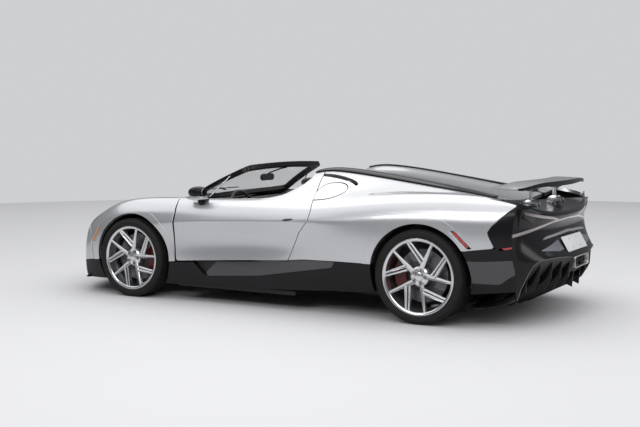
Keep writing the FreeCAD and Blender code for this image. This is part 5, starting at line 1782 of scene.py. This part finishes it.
# Inside mirror: a rounded head, its glass and its stem
mirrorLook = {"x": 760.0, "z": 1013.0, "halfWidth": 104.0, "halfHeight": 31.0, "round": 27.0}
rings = []
for x, inset in ((-13, 14), (-9, 5), (0, 0), (9, 1), (13, 4)):
    rings.append([(carX(mirrorLook["x"] + x), a / 1000, (mirrorLook["z"] + b) / 1000)
                  for a, b in roundedOutline(mirrorLook["halfWidth"] - inset,
                                             mirrorLook["halfHeight"] - inset,
                                             mirrorLook["round"] - inset * 0.8, 8)])
finishPiece(lofted("insideMirror", rings, "cabinTrim"), "root")
rings = [[(carX(mirrorLook["x"] + 13 + x), a / 1000, (mirrorLook["z"] + b) / 1000)
          for a, b in roundedOutline(mirrorLook["halfWidth"] - 7, mirrorLook["halfHeight"] - 7,
                                     mirrorLook["round"] - 7, 8)]
         for x in (-1, 1)]
finishPiece(lofted("insideMirrorGlass", rings, "screenFace"), "root")
stem = [drawn(x, 0, z) for x, z in ((762, 1036), (800, 1056), (900, 1090), (972, 1106))]
finishPiece(strip("insideMirrorStem", [stem], 0.0065, "cabinTrim", 12), "root")

# Door mirrors: a teardrop head with its glass, on a painted blade and a dark stalk
doorMirrorLook = {"x": 668.0, "y": 922.0, "z": 924.0, "length": 92.0, "halfWidth": 58.0, "halfHeight": 50.0,
                  "glassX": 732.0}
mirrorBlade = [(560, 872), (600, 888), (700, 892), (736, 886), (739, 862), (650, 850), (600, 858)]
mirrorStalk = [(640, 858), (724, 866), (716, 812), (668, 800)]
look = doorMirrorLook
for side, sign in sides:
    body = "door_" + side
    rings = []
    cut = (look["glassX"] - look["x"]) / look["length"]
    for t in np.linspace(0.0, 1.0, 15):
        share = -math.cos(math.pi * t * 0.5) * (1 + cut) + cut if t < 1 else cut
        share = max(share, -0.9995)
        size = math.sqrt(max(1 - share * share, 0.0))
        lift = 10 * share
        ring = []
        for a in turns(28):
            wide = blunted(math.cos(a), 0.8)
            tall = blunted(math.sin(a), 0.85)
            ring.append((carX(look["x"] + share * look["length"]),
                         sign * (look["y"] + wide * size * look["halfWidth"]) / 1000,
                         (look["z"] + lift * 0.4 - 3 + tall * size * (look["halfHeight"] - 3)) / 1000))
        rings.append(ring)
    finishPiece(lofted("doorMirror" + side.title(), rings, "glossBlack"), body, nodes=["mirror_" + side])
    flat = []
    for x, inset in ((0.0, 4), (1.5, 5)):
        size = math.sqrt(1 - cut * cut)
        flat.append([(carX(look["glassX"] + x),
                      sign * (look["y"] + math.cos(a) * (size * look["halfWidth"] - inset)) / 1000,
                      (look["z"] + math.sin(a) * (size * look["halfHeight"] - 3 - inset)) / 1000)
                     for a in turns(28)])
    finishPiece(lofted("doorMirrorGlass" + side.title(), flat, "mirrorGlass"), body)
    for part, outline, inner, outer, mat in (("Blade", mirrorBlade, 868, 966, "silverPaint"),
                                             ("Stalk", mirrorStalk, 835, 905, "glossBlack")):
        finishPiece(sidePiece("doorMirror" + part + side.title(), outline, sign * inner, sign * outer, mat,
                              0.007), body)

# Wiper: its blade lies along the foot of the glass
wiperLook = {"base": (0.10, 2.25), "elbow": (0.20, 1.75), "bladeFrom": 0.95, "bladeTo": 2.55, "height": 0.20}


def onScreen(u, v, lift):
    spot = np.array([[u, v]])
    return Vector(screenSurface.at(spot)[0]) + Vector(screenSurface.normals(spot)[0]) * lift


bladePath = [onScreen(wiperLook["height"] + 0.02 * math.sin(t * math.pi), wiperLook["bladeFrom"]
                      + (wiperLook["bladeTo"] - wiperLook["bladeFrom"]) * t, 0.007)
             for t in np.linspace(0, 1, 15)]
armPath = [onScreen(*wiperLook["base"], 0.012), onScreen(0.15, 2.0, 0.018),
           onScreen(*wiperLook["elbow"], 0.014)]
wiper = [strip("wiperBlade", [bladePath], 0.0050, "cabinTrim", 6),
         strip("wiperArm", [armPath], 0.0065, "cabinTrim")]
finishPiece(joined("wiper", wiper), "root")

# Liners of the wheel arches
liners = []
for axleX, tyreRadius, radius, y0, y1 in ((frontAxleX, frontTyreRadius, archWays["frontRadius"], 0.556,
                                           0.925),
                                          (rearAxleX, rearTyreRadius, archWays["rearRadius"], 0.625, 0.955)):
    for side in (-1, 1):
        rings = []
        for angle in np.linspace(-8, 188, 50):
            a = math.radians(angle)
            rings.append([(axleX + r * math.cos(a), side * y, tyreRadius - archWays["drop"] + r * math.sin(a))
                          for r, y in ((radius + 0.002, y0), (radius + 0.002, y1), (radius + 0.005, y1),
                                       (radius + 0.005, y0))])
        liners.append(lofted("liner", rings, "cabinTrim"))
finishPiece(joined("archLiners", liners), "root")
print("screen and mirrors ready")


# Cabin

cabinLook = {"driverY": 370.0, "dashHalf": 742, "dashBow": 14}
dashLine = smoothRing([(474, 625), (474, 795), (545, 832), (628, 840), (664, 826), (680, 778), (688, 700),
                       (672, 645), (598, 610)])


def bowed(x, y):
    # the dashboard's face bends forwards to its ends
    return x - cabinLook["dashBow"] * (abs(y) / cabinLook["dashHalf"]) ** 2


rings = []
for y in np.linspace(-cabinLook["dashHalf"], cabinLook["dashHalf"], 33):
    cowl = 10 * math.exp(-((y + cabinLook["driverY"]) / 150) ** 2) if y < 0 else 0
    rings.append([(carX(bowed(x, y) if x > 600 else x), y / 1000,
                   (z - 4 + (cowl - 6 if z > 800 else 0)) / 1000)
                  for x, z in dashLine])
finishPiece(lofted("dashTop", rings, "cabinTrim", 50), "root", nodes=["dashboard"])
dashBand = [drawn(bowed(684, y), y, 742) for y in np.linspace(-720, 720, 29)]
finishPiece(strip("dashTrim", [dashBand, [p + Vector((0.001, 0, -0.055)) for p in dashBand]], 0.0032,
                  "polishedAlloy"), "root")
stitchPath = [drawn(bowed(640, y), y, 833.5 if abs(y + cabinLook["driverY"]) > 230 else 838)
              for y in np.linspace(-715, 715, 60)]
finishPiece(stitch("dashStitches", [stitchPath], "threadGrey"), "root")
vents = []
for y in (-640, -190, 190, 640):
    for row in range(4):
        vents.append([drawn(bowed(687, y), y + end, 727 - row * 9) for end in (-48, 48)])
finishPiece(strip("dashVents", vents, 0.0016, "polishedAlloy", 6), "root")
hood = sidePiece("clusterHood", [(560, 828), (668, 842), (676, 846), (676, 838), (664, 780), (560, 780)],
                 -cabinLook["driverY"] - 150, -cabinLook["driverY"] + 150, "cabinTrim", 0.006)
dial = sidePiece("clusterFace", [(676, 790), (679, 836), (681, 836), (678, 790)],
                 -cabinLook["driverY"] - 135, -cabinLook["driverY"] + 135, "screenFace", 0.0008)
finishPiece(joined("cluster", [hood, dial]), "root")

# Steering wheel, flat at the bottom, with three spokes
steeringLook = {"tilt": 22, "place": (765, 735), "radius": 0.177, "flat": -0.150, "grip": 0.0145,
                "thumbGrip": 0.0148}
tilt = math.radians(steeringLook["tilt"])
steerAxis = Vector((math.cos(tilt), 0, math.sin(tilt)))
steerCentre = drawn(steeringLook["place"][0], -cabinLook["driverY"], steeringLook["place"][1])
steerUp = steerAxis.cross(Vector((0, 1, 0))).normalized()
if steerUp.z < 0:
    steerUp = -steerUp
steerSide = Vector((0, 1, 0))


def onWheel(a, b, lift=0.0):
    return steerCentre + steerSide * a + steerUp * b + steerAxis * lift


rings = []
for a in turns(72):
    across = math.cos(a) * steeringLook["radius"]
    up = math.sin(a) * steeringLook["radius"]
    if up < steeringLook["flat"]:
        up = steeringLook["flat"] + (up - steeringLook["flat"]) * 0.25
    grip = steeringLook["grip"] if abs(math.degrees(a) % 180 - 10) > 30 else steeringLook["thumbGrip"]
    rings.append([onWheel(across + math.cos(a) * grip * math.cos(t), up + math.sin(a) * grip * math.cos(t),
                          grip * math.sin(t)) for t in turns(14)])
steeringParts = [lofted("steeringRim", rings, "seatLeather", 60, closed=True)]
rings = [[onWheel(a / 1000, b / 1000 - 0.004, lift) for a, b in roundedOutline(w, h, r, 6)]
         for lift, w, h, r in ((-0.036, 40, 34, 20), (-0.030, 50, 44, 24), (-0.010, 52, 46, 24),
                               (-0.004, 46, 40, 22))]
steeringParts.append(lofted("steeringHub", rings, "cabinTrim"))
rings = [[onWheel(0.0175 * math.cos(t), 0.0175 * math.sin(t), lift) for t in turns(24)]
         for lift in (-0.186, -0.034)]
steeringParts.append(lofted("steeringColumn", rings, "cabinTrim"))
for angle, width in ((4, 26), (176, 26), (270, 20)):
    way = Vector((math.cos(math.radians(angle)), math.sin(math.radians(angle))))
    across = Vector((-way.y, way.x))
    reach = 0.166 if angle != 270 else 0.148
    rows = []
    for r, half, lift in ((0.036, width * 0.0007, -0.022), (0.09, width * 0.00045, -0.018),
                          (reach, width * 0.0005, -0.004)):
        rows.append([onWheel(way.x * r + across.x * half * c, way.y * r + across.y * half * c, lift + d)
                     for c, d in ((-1, -0.004), (1, -0.004), (1, 0.003), (0.8, 0.0045), (-0.8, 0.0045),
                                  (-1, 0.003))])
    steeringParts.append(lofted("steeringArm", rows, "polishedAlloy"))
finishPiece(joined("steeringWheel", steeringParts), "steering_wheel", nodes=["steering_wheel"])

# Floor, tunnel and their trim
tunnelRings = []
tunnelLine = [(644, 156, 640), (700, 156, 628), (760, 156, 580), (860, 156, 530), (980, 156, 490),
              (1100, 156, 464), (1300, 156, 462), (1520, 156, 472), (1568, 156, 472)]
for x, z0, z1 in tunnelLine:
    tunnelRings.append([(carX(x), y / 1000, z / 1000) for y, z in
                        ((-109, z0), (-109, z1 - 24), (-104, z1 - 8), (-88, z1 - 1), (0, z1), (88, z1 - 1),
                         (104, z1 - 8), (109, z1 - 24), (109, z0))])
finishPiece(lofted("tunnelTrim", tunnelRings, "seatLeather", 45), "root")
finishPiece(strip("tunnelEdges",
                  [[Vector((carX(x), side * 0.102, z1 / 1000 - 0.005)) for x, z0, z1 in tunnelLine]
                                  for side in (-1, 1)], 0.0026, "polishedAlloy"), "root")
tunnelParts = [blockPiece("selectorPlate", (870, -34, 520), (1010, 34, 526), "glossBlack", 0.002)]
for k in range(5):
    knob = Mesher()
    knob.spin([(0.0004, 0.0), (0.016, 0.0), (0.018, 0.003), (0.018, 0.020), (0.0004, 0.020)],
              Vector((0, 0, 0)), 24)
    x = 890 + k * 26
    z = np.interp(x, [row[0] for row in tunnelLine], [row[2] for row in tunnelLine])
    knob.points = [(carX(x) + p[0], p[2] * 0.8, z / 1000 + 0.018 - p[1]) for p in knob.points]
    tunnelParts.append(knob.thing("tunnelKnob", "polishedAlloy"))
finishPiece(joined("tunnelControls", tunnelParts), "root")
carpet = []
for side in (-1, 1):
    carpet.append(blockPiece("carpet", (474, side * 118, 151), (1570, side * 752, 158), "carpet", 0.003))
    carpet.append(sidePiece("footRest", [(474, 158), (474, 380), (480, 380), (640, 160)], side * 130,
                            side * 640, "carpet", 0.002))
finishPiece(joined("carpets", carpet), "root")
pedals = []
for y, width, z in ((-310, 22, 250), (-400, 32, 262)):
    pedals.append(sidePiece("pedal", [(600, z - 60), (628, z + 50), (634, z + 48), (606, z - 62)], y - width,
                            y + width, "polishedAlloy", 0.002))
finishPiece(joined("pedals", pedals), "root")

# Rear bulkhead between the seats, with its padded ribs
bulkhead = [blockPiece("bulkheadTrim", (1566, -596, 160), (1574, 596, 975), "cabinTrim", 0.003)]
for n in range(7):
    y = -90 + n * 30
    bulkhead.append(blockPiece("bulkheadRib", (1556, y - 12, 500), (1570, y + 12, 880), "seatLeather", 0.005))
finishPiece(joined("bulkheadPads", bulkhead), "root")

# Door cards with an armrest, a bright pull and a seam
for side, sign in sides:
    card = sidePiece("card", [(566, 432), (566, 800), (600, 822), (1120, 824), (1196, 790), (1180, 640),
                              (1130, 470)],
                     sign * 800, sign * 814, "cabinTrim", 0.005)
    rest = sidePiece("rest", [(700, 566), (716, 606), (760, 620), (1060, 628), (1118, 606), (1100, 560),
                              (760, 548)],
                     sign * 738, sign * 802, "seatLeather", 0.012)
    pocket = sidePiece("pocket", [(620, 446), (620, 486), (1040, 500), (1080, 470)], sign * 786, sign * 802,
                       "seatLeather", 0.004)
    pull = strip("pull", [[drawn(x, sign * y, z) for x, y, z in
                           ((900, 800, 700), (910, 780, 704), (960, 772, 708), (1040, 772, 712),
                            (1090, 780, 712), (1100, 800, 712))]], 0.007, "polishedAlloy", 12)
    finishPiece(joined("doorCard" + side.title(), [card, rest, pocket, pull]), "door_" + side)
    finishPiece(stitch("doorStitches" + side.title(),
                       [[Vector((carX(x), sign * 0.7985, z / 1000))
                         for x, z in ((610, 676), (900, 672), (1150, 664))]],
                       "threadGrey"), "door_" + side)
print("cabin ready")


# Seats: shells with padded cushions, filled by a cloth simulation

seatLook = {"cap": 0.012, "pressure": 4.0, "voxel": 0.006, "frames": 20, "fill": 0.85, "bolsterY": 186}


def inflate(thing):
    # remeshes a pad, lets it swell under pressure and holds each point within its cap
    bpy.context.view_layer.objects.active = thing
    for other in bpy.context.selected_objects:
        other.select_set(False)
    thing.select_set(True)
    remesh = thing.modifiers.new("remesh", "REMESH")
    remesh.mode = "VOXEL"
    remesh.voxel_size = seatLook["voxel"]
    graph = bpy.context.evaluated_depsgraph_get()
    mesh = bpy.data.meshes.new_from_object(thing.evaluated_get(graph))
    thing.modifiers.clear()
    thing.data = mesh
    start = np.empty(len(mesh.vertices) * 3)
    mesh.vertices.foreach_get("co", start)
    start = start.reshape(-1, 3)
    cloth = thing.modifiers.new("cloth", "CLOTH")
    cloth.settings.use_pressure = True
    cloth.settings.uniform_pressure_force = seatLook["pressure"]
    cloth.settings.effector_weights.gravity = 0
    cloth.settings.quality = 4
    cloth.settings.mass = 0.15
    cloth.settings.tension_stiffness = 25
    cloth.settings.compression_stiffness = 25
    cloth.settings.bending_stiffness = 1.5
    cloth.point_cache.frame_end = seatLook["frames"]
    for n in range(1, seatLook["frames"] + 1):
        scene.frame_set(n)
    graph = bpy.context.evaluated_depsgraph_get()
    swollen = bpy.data.meshes.new_from_object(thing.evaluated_get(graph))
    thing.modifiers.clear()
    scene.frame_set(1)
    end = np.empty(len(swollen.vertices) * 3)
    swollen.vertices.foreach_get("co", end)
    end = end.reshape(-1, 3)
    move = end - start
    size = np.linalg.norm(move, axis=1)[:, None]
    move *= np.minimum(1.0, seatLook["cap"] / np.maximum(size, 1e-9))
    swollen.vertices.foreach_set("co", (start + move).ravel())
    thing.data = swollen
    swollen.update()
    return thing


def smoothed(thing):
    # each point moved half way to the middle of its neighbours, and smooth faces
    bm = bmesh.new()
    bm.from_mesh(thing.data)
    bmesh.ops.smooth_vert(bm, verts=bm.verts, factor=0.5, use_axis_x=True, use_axis_y=True, use_axis_z=True)
    bmesh.ops.recalc_face_normals(bm, faces=bm.faces)
    for face in bm.faces:
        face.smooth = True
    bm.to_mesh(thing.data)
    bm.free()
    return thing


def padPiece(name, y, rings, lying, square=0.7, count=24):
    # a closed pad through rounded rings, each (x, z, half width, half depth): a cushion's rings stand
    # across the car, and a back's, which is lying = 1, lie flat
    loops = []
    for x, z, halfWidth, halfDepth in rings:
        loop = []
        for a in turns(count):
            deep = blunted(math.sin(a), 0.7) * halfDepth
            loop.append((carX(x + deep * lying), (y + blunted(math.cos(a), square) * halfWidth) / 1000,
                         (z + deep * (1 - lying)) / 1000))
        loops.append(loop)
    return lofted(name, loops, "seatLeather")


def filledPads(name, pads):
    # one object from several pads, each swollen and smoothed
    return joined(name, [smoothed(inflate(pad)) for pad in pads])


def liftedTo(thing, floor):
    # holds a pad clear of what it rests on
    for vert in thing.data.vertices:
        vert.co.z = max(vert.co.z, floor)


cushionRings = [(950, 292, 118, 16), (962, 297, 140, 24), (1000, 303, 146, 27), (1100, 292, 148, 25),
                (1200, 277, 148, 25), (1290, 264, 146, 25), (1318, 259, 130, 16)]
cushionBolster = [(952, 284, 22, 20), (966, 290, 34, 30), (1020, 300, 38, 40), (1150, 290, 38, 44),
                  (1270, 276, 38, 44), (1316, 262, 26, 26)]
backRings = [(1396, 350, 118, 14), (1400, 366, 140, 26), (1412, 450, 146, 32), (1432, 580, 148, 32),
             (1456, 700, 148, 30), (1474, 790, 142, 28), (1480, 818, 124, 14)]
headRings = [(1492, 838, 84, 12), (1492, 850, 104, 22), (1494, 890, 108, 24), (1496, 925, 98, 20),
             (1497, 942, 76, 10)]
backBolster = [(1398, 340, 20, 16), (1398, 360, 34, 36), (1410, 470, 38, 48), (1436, 620, 38, 46),
               (1468, 760, 34, 32), (1484, 806, 22, 16)]
seatBaseLine = [(936, 154), (936, 262), (1000, 282), (1330, 232), (1340, 154)]
seatShellLine = [(1400, 158), (1444, 330), (1500, 700), (1522, 930), (1532, 930), (1536, 820), (1490, 400),
                 (1462, 158)]
for side, label in ((-1, "Left"), (1, "Right")):
    y = side * cabinLook["driverY"]
    bolsterYs = (y - seatLook["bolsterY"], y + seatLook["bolsterY"])
    base = sidePiece("seatBase" + label, seatBaseLine, y - 205, y + 205, "cabinTrim", 0.012)
    backShell = sidePiece("seatShell" + label, seatShellLine, y - 215, y + 215, "carbonWeave", 0.010)
    cushion = filledPads("cushionPad" + label, [padPiece("seatPad" + label, y, cushionRings, 0, 0.55, 28)]
                      + [padPiece("bolster", edge, cushionBolster, 0) for edge in bolsterYs])
    liftedTo(cushion, 0.1585)
    back = filledPads("backPad" + label, [padPiece("backRest", y, backRings, 1, 0.55, 28),
                                       padPiece("headPad", y, headRings, 1, 0.55, 28)]
                   + [padPiece("backBolster", edge, backBolster, 1) for edge in bolsterYs])
    finishPiece(cushion, "root")
    finishPiece(back, "root")
    finishPiece(base, "root", nodes=["seat_cushions"] if side < 0 else ())
    finishPiece(backShell, "root", nodes=["seat_backs"] if side < 0 else ())
    face = BVHTree.FromPolygons([v.co for v in back.data.vertices],
                                [tuple(p.vertices) for p in back.data.polygons])
    seams = []
    for z in (430, 500, 570, 640, 710):
        spots = [face.ray_cast(drawn(1250, y + shift, z), Vector((1, 0, 0)))[0]
                 for shift in range(-132, 133, 12)]
        seams.append([spot for spot in spots if spot])
    finishPiece(strip("backSeams" + label, seams, 0.0014, "threadGrey", 6), "root")
print("seats ready")


# Camera, light and floor

cameraLook = {"place": (5.9166, -8.0374, 1.4440), "yaw": 29.809, "pitch": 4.584, "roll": -0.087,
              "lens": 59.35}


def makeCamera():
    data = bpy.data.cameras.new("photoCamera")
    data.lens = cameraLook["lens"]
    data.sensor_width = 36.0
    camera = bpy.data.objects.new("photoCamera", data)
    scene.collection.objects.link(camera)
    yaw = math.radians(cameraLook["yaw"])
    pitch = math.radians(cameraLook["pitch"])
    way = Vector((-math.sin(yaw) * math.cos(pitch), math.cos(yaw) * math.cos(pitch), -math.sin(pitch)))
    x, y, z = cameraLook["place"]
    camera.location = (x + frontAxleX, y, z)
    roll = Matrix.Rotation(math.radians(cameraLook["roll"]), 3, "Z")
    camera.rotation_euler = (way.to_track_quat("-Z", "Y").to_matrix() @ roll).to_euler()
    data.clip_end = 200
    scene.camera = camera


def makeLight(name, place, aim, size, power, tone=(1, 1, 1)):
    data = bpy.data.lights.new(name, "AREA")
    data.shape = "RECTANGLE"
    data.size, data.size_y = size
    data.energy = power
    data.color = tone
    lamp = bpy.data.objects.new(name, data)
    lamp.location = place
    lamp.rotation_euler = (Vector(aim) - Vector(place)).to_track_quat("-Z", "Y").to_euler()
    scene.collection.objects.link(lamp)


def makeStage():
    mesh = bpy.data.meshes.new("floor")
    bm = bmesh.new()
    bmesh.ops.create_circle(bm, cap_ends=True, segments=96, radius=13)
    bm.to_mesh(mesh)
    bm.free()
    floor = bpy.data.objects.new("floor", mesh)
    scene.collection.objects.link(floor)
    mat = bpy.data.materials.new("paleFloor")
    mat.use_nodes = True
    shader = mat.node_tree.nodes["Principled BSDF"]
    shader.inputs["Base Color"].default_value = (0.60, 0.60, 0.61, 1)
    shader.inputs["Roughness"].default_value = 0.75
    mesh.materials.append(mat)
    world = bpy.data.worlds.new("studio")
    scene.world = world
    world.use_nodes = True
    tree = Tree(world.node_tree)
    path = tree.add("ShaderNodeLightPath", out="Is Camera Ray")
    back = world.node_tree.nodes["Background"]
    tree.put(back.inputs["Color"], tree.mix(path, (0.22, 0.225, 0.235), (0.62, 0.625, 0.64)))
    back.inputs["Strength"].default_value = 1.0
    scene.view_settings.view_transform = "Standard"


makeCamera()
makeStage()
makeLight("ceiling", (0.0, 3.0, 9.0), (0.0, 3.0, 0), (30.0, 24.0), 2500)
makeLight("overhead", (0.2, 0, 4.6), (0.2, 0, 0), (7.0, 3.2), 60)
makeLight("leftStrip", (1.0, -5.5, 3.6), (0.2, 0, 0.6), (7.0, 1.2), 120)
makeLight("rearStrip", (6.5, 1.5, 3.2), (1.5, 0, 0.6), (1.2, 5.0), 60)
print("camera and light ready")


# The frame's own nodes, with their finishes

slotLooks = {mat["slotName"]: mat for mat in reversed(list(made.values()))}
subparts = {part["node"]: part["material_slot"] for part in frame["record"]["subparts"]}
nodeLooks = {"tub": "carbonWeave", "wing_carrier": "glossBlack", "engine": "castMetal"}
for node, thing in frame["nodes"].items():
    look = made.get(nodeLooks.get(node)) or slotLooks[subparts[node]]
    thing.data.materials.clear()
    thing.data.materials.append(look)
for node, axleX, axleZ in (("knuckle_left", frontAxleX, frontTyreRadius),
                           ("knuckle_right", frontAxleX, frontTyreRadius),
                           ("rear_uprights", rearAxleX, rearTyreRadius)):
    mesh = frame["nodes"][node].data
    mesh.materials.append(made["caliperPaint"])
    place = frame["nodes"][node].matrix_world
    for face in mesh.polygons:
        middle = place @ face.center
        reach = math.hypot(middle.x - axleX, middle.z - axleZ)
        if 0.125 < reach < 0.23 and abs(middle.y) > 0.845:
            face.material_index = 1
